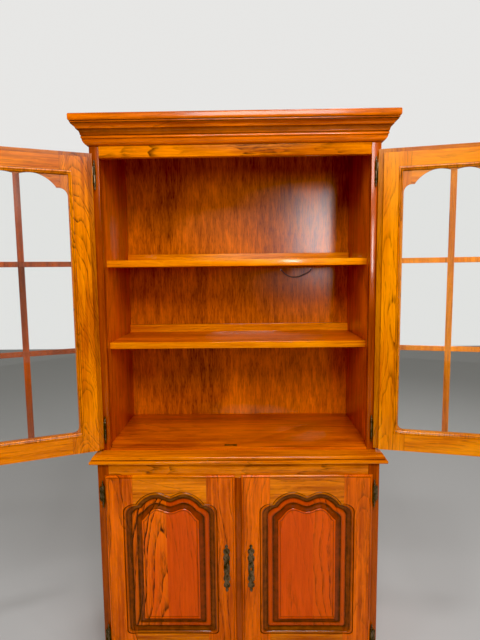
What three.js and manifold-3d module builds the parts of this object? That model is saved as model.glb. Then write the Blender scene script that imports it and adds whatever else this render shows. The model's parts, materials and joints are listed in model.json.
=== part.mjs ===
// A two-piece oak china cabinet: a glazed hutch standing on a base cupboard. The two glass doors
// stand open and the two panelled doors below are shut.
//
// Millimetres. +Z is up, +X is to the right of someone facing the cabinet, and the front faces -Y.
// The origin is on the floor, midway between the sides, in the plane of the rear edges.

import * as THREE from 'three';
import { mergeVertices } from 'three/addons/utils/BufferGeometryUtils.js';
import Module from 'manifold-3d';

const wasm = await Module();
wasm.setup();

// Carcass
const bodyWidth = 1000;
const hutchDepth = 410;
const baseDepth = 465;
const deckHeight = 850;           // upper surface of the buffet top
const deckThickness = 26;
const deckWidth = 1050;
const deckDepth = 482;
const sideThickness = 22;
const backThickness = 7;
const boardThickness = 18;
const faceThickness = 22;         // stiles and rails of the face frames

// Hutch
const hutchTop = deckHeight + 1150;
const crownHeight = 23;
const crownReach = { side: 49, front: 56 };
const hutchStile = 33;
const friezeBottom = deckHeight + 1041;
const hutchFloor = 8;
const strike = { x: -27, inset: 27, width: 46, depth: 18, thickness: 1.2, slotWidth: 18, slotDepth: 7 };
const shelfTops = { lower: deckHeight + 388, upper: deckHeight + 693 };
const shelfSetback = 77;
const shelfThickness = 25;
const ledge = { height: 32, depth: 20 };

// Base
const baseStile = 39;
const centreStile = 44;
const topRailBottom = 769;
const apron = { bottom: 42, top: 104 };
const footWidth = 92;
const rearFootWidth = 80;
const baseShelfTop = 430;

// Doors
const hingeReach = 482;           // hinge axes, from the middle of the cabinet
const axisProud = 5.5;            // hinge axes, in front of the face frame
const lip = { start: 6.7, front: -4.5, back: 5 };
const plugBack = 15;              // rear face of a door, behind its hinge axis
const gap = 0.3;                  // between pieces of a door that rest on each other
const glassDoor = {
  end: 481, bottom: deckHeight + 10, top: deckHeight + 1053,
  plugStart: 24, plugTop: deckHeight + 1038,
  centre: 245, halfWidth: 155.5, sill: deckHeight + 87, springing: deckHeight + 903,
  rebate: 17, rebateTop: deckHeight + 990, railJoint: 112,
  barWidth: 20, barTop: deckHeight + 969, barHeight: 18, barLevels: [deckHeight + 378.5, deckHeight + 678.5],
};
const panelDoor = {
  end: 471, bottom: 92, top: 781,
  plugStart: 23.5, plugEnd: 458, plugBottom: 107, plugTop: 766,
  centre: 238, halfWidth: 169, sill: 177, springing: 644, rebate: 10, rebateTop: 733,
};
const panelField = { halfWidth: 105, bottom: 233, shoulder: 618, peakReach: 50, peak: 661, dip: 648 };
const keyPlates = { glass: { reach: 440, height: deckHeight + 470 }, panel: { reach: 438, height: 434 } };
const openAngle = { left: 157.7, right: 167.6 };
const hingeHeights = { glass: [deckHeight + 79, deckHeight + 982], panel: [162, 712] };

const finishes = {
  oak: { color: 0xc4621c, roughness: 0.35, metalness: 0 },
  veneer: { color: 0x9c4412, roughness: 0.4, metalness: 0 },
  redOak: { color: 0xb04a18, roughness: 0.35, metalness: 0 },
  brass: { color: 0x7a6238, roughness: 0.4, metalness: 0.9 },
  glass: { color: 0xdfe8e6, roughness: 0.05, metalness: 0, transparent: true, opacity: 0.3 },
  flex: { color: 0x1c1815, roughness: 0.6, metalness: 0 },
};

const cabinet = new THREE.Group();

function place(parent, name, geometry, finish) {
  const mesh = new THREE.Mesh(geometry, new THREE.MeshStandardMaterial(finishes[finish]));
  mesh.name = name;
  parent.add(mesh);
}

// Solids

function box(x0, x1, y0, y1, z0, z1) {
  const geometry = new THREE.BoxGeometry(Math.abs(x1 - x0), y1 - y0, z1 - z0);
  return geometry.translate((x0 + x1) / 2, (y0 + y1) / 2, (z0 + z1) / 2);
}

// An outline drawn in X and Z, as thick as the stretch from y0 to y1.
function plate(shape, y0, y1, bevel = 0) {
  const geometry = new THREE.ExtrudeGeometry(shape, {
    depth: y1 - y0 - bevel, curveSegments: 5, bevelEnabled: bevel > 0,
    bevelThickness: bevel, bevelSize: bevel * 1.6, bevelOffset: -bevel * 1.6, bevelSegments: 1,
  });
  return geometry.rotateX(Math.PI / 2).translate(0, y1, 0);
}

function turned(profile, segments = 14) {
  const points = profile.map(([radius, height]) => new THREE.Vector2(radius, height));
  return new THREE.LatheGeometry(points, segments).rotateX(Math.PI / 2);
}

function toSolid(geometry) {
  const bare = new THREE.BufferGeometry();
  bare.setAttribute('position', geometry.attributes.position.clone());
  if (geometry.index) bare.setIndex(geometry.index.clone());
  const merged = mergeVertices(bare, 1e-4);
  const corners = merged.index.array;
  const kept = [];
  for (let i = 0; i < corners.length; i += 3) {
    const [a, b, c] = corners.slice(i, i + 3);
    if (a !== b && b !== c && c !== a) kept.push(a, b, c);
  }
  return new wasm.Manifold(new wasm.Mesh({
    numProp: 3,
    vertProperties: new Float32Array(merged.attributes.position.array),
    triVerts: new Uint32Array(kept),
  }));
}

function toGeometry(solid) {
  const mesh = solid.getMesh();
  const geometry = new THREE.BufferGeometry();
  geometry.setAttribute('position', new THREE.BufferAttribute(mesh.vertProperties, 3));
  geometry.setIndex(new THREE.BufferAttribute(mesh.triVerts, 1));
  return geometry;
}

function join(first, ...others) {
  return toGeometry(others.reduce((sum, one) => sum.add(toSolid(one)), toSolid(first)));
}

function cut(first, ...others) {
  return toGeometry(others.reduce((rest, one) => rest.subtract(toSolid(one)), toSolid(first)));
}

function common(first, second) {
  return toGeometry(toSolid(first).intersect(toSolid(second)));
}

// Outlines

// The doors' opening: two round arches that meet in a cusp, with a small rounded shoulder on each
// side. The heights are counted up from the top of the straight sides.
function archedOpening(centre, halfWidth, sill, springing, arch, drawFoot) {
  const { cusp, peakReach, peak, shoulderReach, shoulder } = arch;
  const shape = new THREE.Shape();
  const at = (reach, height) => [centre + reach, springing + height];
  drawFoot(shape, centre, halfWidth, sill);
  shape.lineTo(...at(halfWidth, 0));
  for (const side of [1, -1]) {
    const halfArch = [
      [at(side * halfWidth, 0.8 * shoulder), at(side * (shoulderReach + 16), shoulder + 3),
        at(side * shoulderReach, shoulder)],
      [at(side * (shoulderReach - 14), shoulder + 24), at(side * (peakReach + 30), peak),
        at(side * peakReach, peak)],
      [at(side * (peakReach - 18), peak), at(side * 12, cusp + 3), at(0, cusp)],
    ];
    if (side > 0) {
      for (const [first, second, end] of halfArch) shape.bezierCurveTo(...first, ...second, ...end);
    } else {
      shape.bezierCurveTo(...halfArch[2][1], ...halfArch[2][0], ...halfArch[1][2]);
      shape.bezierCurveTo(...halfArch[1][1], ...halfArch[1][0], ...halfArch[0][2]);
      shape.bezierCurveTo(...halfArch[0][1], ...halfArch[0][0], ...at(-halfWidth, 0));
    }
  }
  return shape;
}

function roundedFoot(shape, centre, halfWidth, sill, radius = 22) {
  shape.moveTo(centre - halfWidth, sill + radius);
  shape.quadraticCurveTo(centre - halfWidth, sill, centre - halfWidth + radius, sill);
  shape.lineTo(centre + halfWidth - radius, sill);
  shape.quadraticCurveTo(centre + halfWidth, sill, centre + halfWidth, sill + radius);
}

function lobedFoot(shape, centre, halfWidth, sill, drop = 6, lobe = 35) {
  shape.moveTo(centre - halfWidth, sill + drop * 2);
  shape.quadraticCurveTo(centre - halfWidth, sill - drop, centre - halfWidth + lobe, sill);
  shape.lineTo(centre + halfWidth - lobe, sill);
  shape.quadraticCurveTo(centre + halfWidth, sill - drop, centre + halfWidth, sill + drop * 2);
}

const glassArch = { cusp: 67, peakReach: 44, peak: 75, shoulderReach: 121, shoulder: 29 };
const panelArch = { cusp: 61, peakReach: 48, peak: 77, shoulderReach: 123, shoulder: 32 };

function glassOpening(hand) {
  const { centre, halfWidth, sill, springing } = glassDoor;
  return archedOpening(hand * centre, halfWidth, sill, springing, glassArch, roundedFoot);
}

function panelOpening(hand) {
  const { centre, halfWidth, sill, springing } = panelDoor;
  return archedOpening(hand * centre, halfWidth, sill, springing, panelArch, lobedFoot);
}

// The raised field of a panel follows the arches of the opening, with a soft dip in the middle.
function raisedField(centre) {
  const { halfWidth, bottom, shoulder, peakReach, peak, dip } = panelField;
  const shape = new THREE.Shape();
  const curve = (...points) => {
    shape.bezierCurveTo(...points.flatMap(([reach, height]) => [centre + reach, height]));
  };
  shape.moveTo(centre - halfWidth, bottom).lineTo(centre + halfWidth, bottom);
  shape.lineTo(centre + halfWidth, shoulder);
  curve([halfWidth - 13, shoulder + 5], [peakReach + 24, peak - 1], [peakReach, peak]);
  curve([peakReach - 20, peak], [18, dip], [0, dip]);
  curve([-18, dip], [20 - peakReach, peak], [-peakReach, peak]);
  curve([-peakReach - 24, peak - 1], [13 - halfWidth, shoulder + 5], [-halfWidth, shoulder]);
  return shape;
}

// Base cupboard

function buildBase() {
  const half = bodyWidth / 2;
  const faceBack = -baseDepth + faceThickness;
  const underDeck = deckHeight - deckThickness;
  const inner = half - sideThickness;
  const opening = half - baseStile;

  for (const [name, side] of [['left', -1], ['right', 1]]) {
    const foot = new THREE.Shape();
    const frontFoot = -baseDepth + footWidth;
    foot.moveTo(faceBack, 0).lineTo(frontFoot, 0);
    foot.quadraticCurveTo(frontFoot + 12, apron.bottom, frontFoot + 73, apron.bottom);
    foot.lineTo(-rearFootWidth - 60, apron.bottom);
    foot.quadraticCurveTo(-rearFootWidth - 12, apron.bottom, -rearFootWidth, 0);
    foot.lineTo(0, 0).lineTo(0, underDeck).lineTo(faceBack, underDeck).closePath();
    const depth = { depth: sideThickness, bevelEnabled: false, curveSegments: 6 };
    const panel = new THREE.ExtrudeGeometry(foot, depth).rotateX(Math.PI / 2).rotateZ(Math.PI / 2);
    panel.translate(side > 0 ? inner : -half, 0, 0);
    place(cabinet, `base_side_${name}`, panel, 'oak');
    place(cabinet, `base_stile_${name}`,
      box(side * opening, side * half, -baseDepth, faceBack, 0, underDeck), 'oak');
  }

  place(cabinet, 'base_top_rail',
    box(-opening, opening, -baseDepth, faceBack, topRailBottom, underDeck), 'oak');
  place(cabinet, 'base_centre_stile',
    box(-centreStile / 2, centreStile / 2, -baseDepth, faceBack, apron.top, topRailBottom), 'oak');

  const scallop = new THREE.Shape();
  const foot = half - footWidth;
  scallop.moveTo(-opening, apron.top).lineTo(-opening, 12).quadraticCurveTo(-foot - 18, 14, -foot, 36);
  scallop.bezierCurveTo(-foot + 30, 70, -180, 30, -110, 52);
  scallop.quadraticCurveTo(-40, 74, 0, apron.bottom).quadraticCurveTo(40, 74, 110, 52);
  scallop.bezierCurveTo(180, 30, foot - 30, 70, foot, 36);
  scallop.quadraticCurveTo(foot + 18, 14, opening, 12).lineTo(opening, apron.top).closePath();
  place(cabinet, 'base_apron', plate(scallop, -baseDepth, faceBack), 'oak');

  place(cabinet, 'base_back', box(-inner, inner, -backThickness, 0, 0, underDeck), 'oak');
  place(cabinet, 'base_floor',
    box(-inner, inner, faceBack, -backThickness, apron.top - boardThickness, apron.top), 'oak');
  place(cabinet, 'base_shelf',
    box(-inner, inner, faceBack + 60, -backThickness, baseShelfTop - boardThickness, baseShelfTop), 'oak');
}

// The buffet top has a stepped edge on its front and its two ends.
function buildDeck() {
  const step = { height: 13, inset: 8 };
  const half = deckWidth / 2;
  const bottom = deckHeight - deckThickness;
  const slab = box(-half, half, -deckDepth, 0, bottom, bottom + step.height);
  const upper = box(-half + step.inset, half - step.inset, -deckDepth + step.inset, 0, bottom, deckHeight);
  place(cabinet, 'buffet_top', join(slab, upper), 'oak');
}

// Hutch

// A moulding that runs round the front and both ends, mitred at the corners. Its profile is a list
// of [outward reach from 0 to 1, height].
function mitredMoulding(profile) {
  const half = bodyWidth / 2;
  const positions = [];
  const corners = [];
  for (const [reach, height] of profile) {
    const x = half + reach * crownReach.side;
    const y = -hutchDepth - reach * crownReach.front;
    positions.push(-x, 0, height, -x, y, height, x, y, height, x, 0, height);
  }
  const rows = profile.length;
  const vertex = (row, column) => (row % rows) * 4 + column;
  for (let row = 0; row < rows; row += 1) {
    for (let column = 0; column < 3; column += 1) {
      const [a, b] = [vertex(row, column), vertex(row, column + 1)];
      const [c, d] = [vertex(row + 1, column + 1), vertex(row + 1, column)];
      corners.push(a, b, c, a, c, d);
    }
  }
  const outline = profile.map(([reach, height]) => new THREE.Vector2(reach * crownReach.side, height));
  for (const [a, b, c] of THREE.ShapeUtils.triangulateShape(outline, [])) {
    corners.push(a * 4, b * 4, c * 4, c * 4 + 3, b * 4 + 3, a * 4 + 3);
  }
  const geometry = new THREE.BufferGeometry();
  geometry.setAttribute('position', new THREE.Float32BufferAttribute(positions, 3));
  geometry.setIndex(corners);
  return geometry;
}

function buildHutch() {
  const half = bodyWidth / 2;
  const inner = half - sideThickness;
  const opening = half - hutchStile;
  const faceBack = -hutchDepth + faceThickness;
  const floorTop = deckHeight + hutchFloor;

  for (const [name, side] of [['left', -1], ['right', 1]]) {
    place(cabinet, `hutch_side_${name}`,
      box(side * inner, side * half, faceBack, 0, deckHeight, hutchTop), 'oak');
    place(cabinet, `hutch_stile_${name}`,
      box(side * opening, side * half, -hutchDepth, faceBack, deckHeight, hutchTop), 'oak');
  }
  place(cabinet, 'hutch_frieze_rail',
    box(-opening, opening, -hutchDepth, faceBack, friezeBottom, hutchTop), 'oak');
  const floorFront = box(-opening, opening, -hutchDepth, faceBack, deckHeight, floorTop);
  const floorRear = box(-inner, inner, faceBack, -backThickness, deckHeight, floorTop);
  const strikePocket = strikeBlock(strike.width / 2 + gap, strike.depth / 2 + gap,
    floorTop - strike.thickness);
  place(cabinet, 'hutch_floor', cut(join(floorFront, floorRear), strikePocket), 'oak');

  for (const [name, top] of Object.entries(shelfTops)) {
    const front = -hutchDepth + shelfSetback;
    const shelf = box(-inner, inner, front, -backThickness, top - shelfThickness, top);
    const strip = box(-inner, inner, -backThickness - ledge.depth, -backThickness,
      top - 1, top + ledge.height);
    place(cabinet, `hutch_shelf_${name}`, join(shelf, strip), 'oak');
  }

  const crownFront = -hutchDepth - crownReach.front;
  const crownHalf = half + crownReach.side;
  place(cabinet, 'crown_cap',
    box(-crownHalf, crownHalf, crownFront, 0, hutchTop, hutchTop + crownHeight), 'oak');
  const crownBottom = deckHeight + 1082;
  place(cabinet, 'crown_moulding', mitredMoulding([
    [0, crownBottom], [0.1, crownBottom + 3], [0.32, crownBottom + 14], [0.36, crownBottom + 24],
    [0.4, crownBottom + 28], [0.46, crownBottom + 34], [0.62, crownBottom + 42], [0.64, crownBottom + 46],
    [0.86, crownBottom + 56], [0.92, crownBottom + 64], [0.92, hutchTop], [0, hutchTop],
  ]), 'oak');
}

// A short loop of light flex hangs below the upper shelf, out of one hole in the back and into another.
function buildBackAndFlex() {
  const inner = bodyWidth / 2 - sideThickness;
  const flexRadius = 2.2;
  const holeRadius = 3.2;
  const route = [
    [188, -1, 1504], [188, -9, 1504], [189, -16, 1502], [194, -20, 1496], [203, -21, 1487],
    [215, -21, 1479], [230, -21, 1473], [246, -21, 1471], [262, -21, 1473], [277, -21, 1478],
    [291, -21, 1484], [304, -21, 1490], [312, -20, 1497], [316, -16, 1502], [317, -9, 1504],
    [317, -1, 1504],
  ];
  const curve = new THREE.CatmullRomCurve3(route.map((point) => new THREE.Vector3(...point)));
  const section = new THREE.Shape();
  section.absarc(0, 0, flexRadius, 0, Math.PI * 2);
  const flex = new THREE.ExtrudeGeometry(section, { steps: 26, curveSegments: 4, extrudePath: curve });
  place(cabinet, 'light_flex', flex, 'flex');

  const holes = [route[0], route.at(-1)].map(([x, , z]) => {
    const hole = new THREE.CylinderGeometry(holeRadius, holeRadius, 4 * backThickness, 16);
    return hole.translate(x, 0, z);
  });
  const sheet = box(-inner, inner, -backThickness, 0, deckHeight, hutchTop);
  place(cabinet, 'hutch_back', cut(sheet, ...holes), 'veneer');
}

// A small brass plate let into the hutch floor takes the bolt of the left glass door.
function strikeBlock(reachX, reachY, bottom) {
  const y = -hutchDepth + strike.inset;
  const top = deckHeight + hutchFloor + 1;
  return box(strike.x - reachX, strike.x + reachX, y - reachY, y + reachY, bottom, top);
}

function buildStrike() {
  const floorTop = deckHeight + hutchFloor;
  const y = -hutchDepth + strike.inset;
  const slab = box(strike.x - strike.width / 2, strike.x + strike.width / 2, y - strike.depth / 2,
    y + strike.depth / 2, floorTop - strike.thickness, floorTop);
  const slot = strikeBlock(strike.slotWidth / 2, strike.slotDepth / 2, floorTop - 2 * strike.thickness);
  place(cabinet, 'bolt_strike', cut(slab, slot), 'brass');
}

// Doors: X runs from the hinge axis towards the free edge, Y into the cabinet. A left-hand door has
// hand 1 and a right-hand door has hand -1.

function frameSolid(door, hand, outline) {
  const { end, bottom, top, plugStart, plugEnd = end, plugBottom = bottom, plugTop } = door;
  const lipSlab = box(hand * lip.start, hand * end, lip.front, lip.back, bottom, top);
  const plug = box(hand * plugStart, hand * plugEnd, lip.back - 1, plugBack, plugBottom, plugTop);
  const { centre, halfWidth, sill, rebate, rebateTop } = door;
  const recess = box(hand * (centre - halfWidth - rebate), hand * (centre + halfWidth + rebate),
    lip.back, plugBack + 1, sill - rebate, rebateTop);
  return cut(join(lipSlab, plug), plate(outline, lip.front - 1, lip.back + 1), recess);
}

function buildGlassDoor(name, hand, parent) {
  const { end, bottom, top, centre, halfWidth, sill, rebate, railJoint, rebateTop } = glassDoor;
  const outline = glassOpening(hand);
  const frame = frameSolid(glassDoor, hand, outline);
  const farJoint = 2 * centre - railJoint;
  const middle = (sill + rebateTop) / 2;
  const pieces = {
    hinge_stile: [0, railJoint - gap, bottom - 1, top + 1],
    lock_stile: [farJoint + gap, end + 1, bottom - 1, top + 1],
    bottom_rail: [railJoint, farJoint, bottom - 1, middle],
    top_rail: [railJoint, farJoint, middle, top + 1],
  };
  for (const [piece, [x0, x1, z0, z1]] of Object.entries(pieces)) {
    const region = box(hand * x0, hand * x1, lip.front - 1, plugBack + 1, z0, z1);
    place(parent, `glass_door_${name}_${piece}`, common(frame, region), 'oak');
  }

  const clear = new THREE.Shape(outline.getPoints(5));
  const { barWidth, barTop, barHeight, barLevels } = glassDoor;
  const [barFront, barBack] = [lip.front + 1.5, lip.back - gap];
  const bars = [box(hand * (centre - barWidth / 2), hand * (centre + barWidth / 2),
    barFront, barBack, sill + gap, barTop)];
  for (const height of barLevels) {
    bars.push(box(hand * (centre - halfWidth + gap), hand * (centre + halfWidth - gap),
      barFront, barBack, height - barHeight / 2, height + barHeight / 2));
  }
  const grille = common(join(...bars), plate(clear, lip.front - 1, plugBack));
  place(parent, `glass_door_${name}_grille`, grille, 'oak');

  const reach = halfWidth + rebate - 1;
  place(parent, `glass_door_${name}_glass`, box(hand * (centre - reach), hand * (centre + reach),
    lip.back + gap, lip.back + gap + 3, sill - rebate + 1, rebateTop - 1), 'glass');
}

function buildPanelDoor(name, hand, parent) {
  const { centre, halfWidth, sill, rebate, rebateTop } = panelDoor;
  place(parent, `panel_door_${name}_frame`, frameSolid(panelDoor, hand, panelOpening(hand)), 'oak');
  const reach = halfWidth + rebate - 1;
  const back = box(hand * (centre - reach), hand * (centre + reach), lip.back + gap, lip.back + gap + 8,
    sill - rebate + 1, rebateTop - 1);
  const field = plate(raisedField(hand * centre), lip.front + 2, lip.back + 1, 4);
  place(parent, `panel_door_${name}_panel`, join(back, field), 'redOak');
}

// A long shaped escutcheon with a leaf point at each end, with or without a keyhole.
function escutcheon(keyhole) {
  const shape = new THREE.Shape();
  const quarter = [[0, 92], [5, 84], [3, 76], [9, 70], [10, 60], [6, 52], [11, 40], [8, 24], [9.5, 0]];
  const mirrored = quarter.slice(0, -1).reverse().map(([x, z]) => [x, -z]);
  const rightSide = [...quarter, ...mirrored];
  const leftSide = rightSide.slice(1, -1).reverse().map(([x, z]) => [-x, z]);
  shape.setFromPoints([...rightSide, ...leftSide].map(([x, z]) => new THREE.Vector2(x, z)));
  if (keyhole) {
    const hole = new THREE.Path();
    hole.absarc(0, 0, 3.2, -Math.PI / 4, Math.PI * 1.25);
    hole.lineTo(-2.2, -10).lineTo(2.2, -10).closePath();
    shape.holes.push(hole);
  }
  return plate(shape, -2.2, 0);
}

function addEscutcheon(parent, kind, name, hand) {
  const { reach, height } = keyPlates[kind];
  const mesh = escutcheon(hand < 0).translate(hand * reach, lip.front - 0.1, height);
  place(parent, `${kind}_door_${name}_escutcheon`, mesh, 'brass');
}

// Finial hinges: the lower knuckle, its pin and a leaf are fixed to the face frame, and the upper
// knuckle drops over the pin and has a leaf on the edge of the door.
const knuckle = { radius: 4.4, length: 26, split: 0.2, pinRadius: 2, pinHeight: 13, boreRadius: 2.4 };
const leaf = { halfLength: 31, taper: 7, wall: 1.5 };

function finialProfile(sign) {
  const steps = [
    [4.4, 26], [4.8, 27], [4.8, 29], [2.8, 31], [4.2, 34], [4.2, 38], [2.2, 42], [2.8, 46], [1.6, 50],
  ];
  return [...steps.map(([radius, height]) => [radius, sign * height]), [0, sign * 52]];
}

function taperedLeaf(x0, x1, y0, y1) {
  const middle = (x0 + x1) / 2;
  const shape = new THREE.Shape();
  const { halfLength, taper } = leaf;
  shape.moveTo(x0, -halfLength + taper).lineTo(middle, -halfLength).lineTo(x1, -halfLength + taper);
  shape.lineTo(x1, halfLength - taper).lineTo(middle, halfLength).lineTo(x0, halfLength - taper).closePath();
  return plate(shape, y0, y1);
}

function fixedHalf(hand) {
  const { radius, length, split, pinRadius, pinHeight } = knuckle;
  const barrel = turned([
    ...finialProfile(-1).reverse(),
    [radius, -split], [pinRadius, -split], [pinRadius, pinHeight], [0, pinHeight],
  ]);
  const face = axisProud - 0.1;
  const flange = taperedLeaf(hand * -14, hand * -5, face - leaf.wall, face);
  const web = box(hand * -6, 0, face - 2, face, -length, -2 * split);
  return join(barrel, web, flange);
}

function movingHalf(hand) {
  const { radius, length, split, pinHeight, boreRadius } = knuckle;
  const barrel = turned([
    [0, pinHeight + 1], [boreRadius, pinHeight + 1], [boreRadius, split], [radius, split],
    ...finialProfile(1),
  ]);
  const flange = box(hand * 5.1, hand * (lip.start - gap), -3.4, 3.4, -leaf.halfLength, leaf.halfLength);
  const web = box(hand * 3.2, hand * 5.6, -1.6, 1.6, 2 * split, length);
  return join(barrel, web, flange);
}

function hingeAxis(hand, faceDepth) {
  const axis = new THREE.Group();
  axis.position.set(-hand * hingeReach, -faceDepth - axisProud, 0);
  cabinet.add(axis);
  return axis;
}

function addHinges(kind, name, hand, faceDepth, doorGroup) {
  for (const [index, level] of ['lower', 'upper'].entries()) {
    const height = hingeHeights[kind][index];
    const fixed = fixedHalf(hand).translate(0, 0, height);
    const moving = movingHalf(hand).translate(0, 0, height);
    place(hingeAxis(hand, faceDepth), `${kind}_hinge_${name}_${level}_fixed`, fixed, 'brass');
    place(doorGroup, `${kind}_hinge_${name}_${level}_moving`, moving, 'brass');
  }
}

function buildDoors() {
  for (const [name, hand] of [['left', 1], ['right', -1]]) {
    const glassGroup = hingeAxis(hand, hutchDepth);
    glassGroup.rotation.z = -hand * THREE.MathUtils.degToRad(openAngle[name]);
    buildGlassDoor(name, hand, glassGroup);
    addEscutcheon(glassGroup, 'glass', name, hand);
    addHinges('glass', name, hand, hutchDepth, glassGroup);

    const panelGroup = hingeAxis(hand, baseDepth);
    buildPanelDoor(name, hand, panelGroup);
    addEscutcheon(panelGroup, 'panel', name, hand);
    addHinges('panel', name, hand, baseDepth, panelGroup);
  }
}

buildBase();
buildDeck();
buildHutch();
buildBackAndFlex();
buildStrike();
buildDoors();

export default cabinet;
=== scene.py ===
import json
import math

import bmesh
import bpy
from mathutils import Matrix, Vector


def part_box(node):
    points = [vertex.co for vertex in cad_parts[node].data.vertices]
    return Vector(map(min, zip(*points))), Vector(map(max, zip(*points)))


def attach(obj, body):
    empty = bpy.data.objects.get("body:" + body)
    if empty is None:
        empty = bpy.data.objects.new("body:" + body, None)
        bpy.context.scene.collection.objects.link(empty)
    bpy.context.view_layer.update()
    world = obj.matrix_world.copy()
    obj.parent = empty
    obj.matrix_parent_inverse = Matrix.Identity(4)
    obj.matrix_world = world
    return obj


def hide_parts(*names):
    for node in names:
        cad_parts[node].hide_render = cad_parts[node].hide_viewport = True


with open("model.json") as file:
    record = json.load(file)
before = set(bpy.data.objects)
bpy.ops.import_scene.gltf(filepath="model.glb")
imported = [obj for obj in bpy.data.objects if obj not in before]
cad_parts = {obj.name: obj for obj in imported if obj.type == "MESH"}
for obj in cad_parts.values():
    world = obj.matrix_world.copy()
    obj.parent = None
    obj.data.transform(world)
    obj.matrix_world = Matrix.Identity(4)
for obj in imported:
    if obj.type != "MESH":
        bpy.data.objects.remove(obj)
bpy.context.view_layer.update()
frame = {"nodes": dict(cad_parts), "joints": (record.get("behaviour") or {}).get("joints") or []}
joints = {joint["name"]: joint for joint in frame["joints"]}
print("frame loaded:", len(frame["nodes"]), "parts")


# Camera and cord

camera = {"place": (0.0382, -2.0263, 1.4955), "yaw": -0.91, "pitch": -5.96, "roll": -0.63, "lens": 25.79}


def makeCamera():
    yaw, pitch, roll = (math.radians(camera[key]) for key in ("yaw", "pitch", "roll"))
    ahead = Vector((math.sin(yaw) * math.cos(pitch), math.cos(yaw) * math.cos(pitch), math.sin(pitch)))
    level = Vector((math.cos(yaw), -math.sin(yaw), 0))
    above = level.cross(ahead)
    right = level * math.cos(roll) + above * math.sin(roll)
    up = above * math.cos(roll) - level * math.sin(roll)
    data = bpy.data.cameras.new("camera")
    data.lens = camera["lens"]
    data.sensor_width = 36
    holder = bpy.data.objects.new("camera", data)
    bpy.context.collection.objects.link(holder)
    turn = Matrix((right, up, -ahead)).transposed().to_4x4()
    holder.matrix_world = Matrix.Translation(camera["place"]) @ turn
    bpy.context.scene.camera = holder


makeCamera()
print("camera placed")


def clearSelection():
    if bpy.context.object and bpy.context.object.mode != "OBJECT":
        bpy.ops.object.mode_set(mode="OBJECT")
    bpy.ops.object.select_all(action="DESELECT")


def pick(piece):
    clearSelection()
    piece.select_set(True)
    bpy.context.view_layer.objects.active = piece


def startEdit(piece):
    pick(piece)
    bpy.ops.object.mode_set(mode="EDIT")
    bpy.ops.mesh.select_all(action="SELECT")


def endEdit():
    bpy.ops.object.mode_set(mode="OBJECT")


def linkNew(name, data):
    piece = bpy.data.objects.new(name, data)
    bpy.context.collection.objects.link(piece)
    return piece


def applyModifier(piece, kind, **settings):
    pick(piece)
    modifier = piece.modifiers.new(kind.lower(), kind)
    for key, value in settings.items():
        setattr(modifier, key, value)
    bpy.ops.object.modifier_apply(modifier=modifier.name)


# the short loop of light flex below the upper shelf
flex = {
    "diameter": 4.4,
    "route": [
        (188, -1, 1504), (188, -9, 1504), (189, -16, 1502), (194, -20, 1496), (203, -21, 1487),
        (215, -21, 1479), (230, -21, 1473), (246, -21, 1471), (262, -21, 1473), (277, -21, 1478),
        (291, -21, 1484), (304, -21, 1490), (312, -20, 1497), (316, -16, 1502), (317, -9, 1504),
        (317, -1, 1504),
    ],
}


def makeFlex():
    data = bpy.data.curves.new("lightFlex", "CURVE")
    data.dimensions = "3D"
    data.bevel_depth = flex["diameter"] / 2000
    data.bevel_resolution = 4
    data.resolution_u = 8
    data.use_fill_caps = True
    spline = data.splines.new("BEZIER")
    spline.bezier_points.add(len(flex["route"]) - 1)
    for point, place in zip(spline.bezier_points, flex["route"]):
        point.co = [value / 1000 for value in place]
        point.handle_left_type = point.handle_right_type = "AUTO"
    return linkNew("lightFlex", data)


lightFlex = makeFlex()
print("cord laid")


# Materials

def addNode(tree, kind, **settings):
    node = tree.nodes.new(kind)
    for key, value in settings.items():
        setattr(node, key, value)
    return node


def feed(tree, socket, value):
    if isinstance(value, bpy.types.NodeSocket):
        tree.links.new(value, socket)
    else:
        socket.default_value = value


def calc(tree, operation, first, second=0.0, clamp=False):
    node = addNode(tree, "ShaderNodeMath", operation=operation, use_clamp=clamp)
    for socket, value in zip(node.inputs, (first, second)):
        feed(tree, socket, value)
    return node.outputs[0]


# the first value and a share of the second, together
def plus(tree, first, second, share, clamp=False):
    return calc(tree, "ADD", first, calc(tree, "MULTIPLY", second, share), clamp)


def blendColours(tree, share, first, second):
    node = addNode(tree, "ShaderNodeMix", data_type="RGBA", blend_type="MIX")
    feed(tree, node.inputs["Factor"], share)
    feed(tree, node.inputs[6], first)
    feed(tree, node.inputs[7], second)
    return node.outputs[2]


def stretch(tree, vector, scale, shift=None):
    node = addNode(tree, "ShaderNodeVectorMath", operation="MULTIPLY")
    feed(tree, node.inputs[0], vector)
    node.inputs[1].default_value = scale
    if shift is None:
        return node.outputs[0]
    add = addNode(tree, "ShaderNodeVectorMath", operation="ADD")
    tree.links.new(node.outputs[0], add.inputs[0])
    feed(tree, add.inputs[1], shift)
    return add.outputs[0]


# a noise that is (stretch in X, Y and Z), detail, roughness and, if given, distortion
def noise(tree, vector, scale, detail, rough, distortion=0.0):
    node = addNode(tree, "ShaderNodeTexNoise")
    feed(tree, node.inputs["Vector"], stretch(tree, vector, scale))
    node.inputs["Scale"].default_value = 1.0
    node.inputs["Detail"].default_value = detail
    node.inputs["Roughness"].default_value = rough
    node.inputs["Distortion"].default_value = distortion
    return node.outputs["Fac"]


# a noise along one value, such as the count of rings
def lineNoise(tree, value, scale, detail=2.0):
    node = addNode(tree, "ShaderNodeTexNoise", noise_dimensions="1D")
    tree.links.new(value, node.inputs["W"])
    node.inputs["Scale"].default_value = scale
    node.inputs["Detail"].default_value = detail
    return node.outputs["Fac"]


def remap(tree, value, low, high, newLow=0.0, newHigh=1.0, smooth=True):
    node = addNode(tree, "ShaderNodeMapRange", interpolation_type="SMOOTHSTEP" if smooth else "LINEAR")
    feed(tree, node.inputs["Value"], value)
    for label, number in (("From Min", low), ("From Max", high), ("To Min", newLow), ("To Max", newHigh)):
        node.inputs[label].default_value = number
    return node.outputs["Result"]


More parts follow.
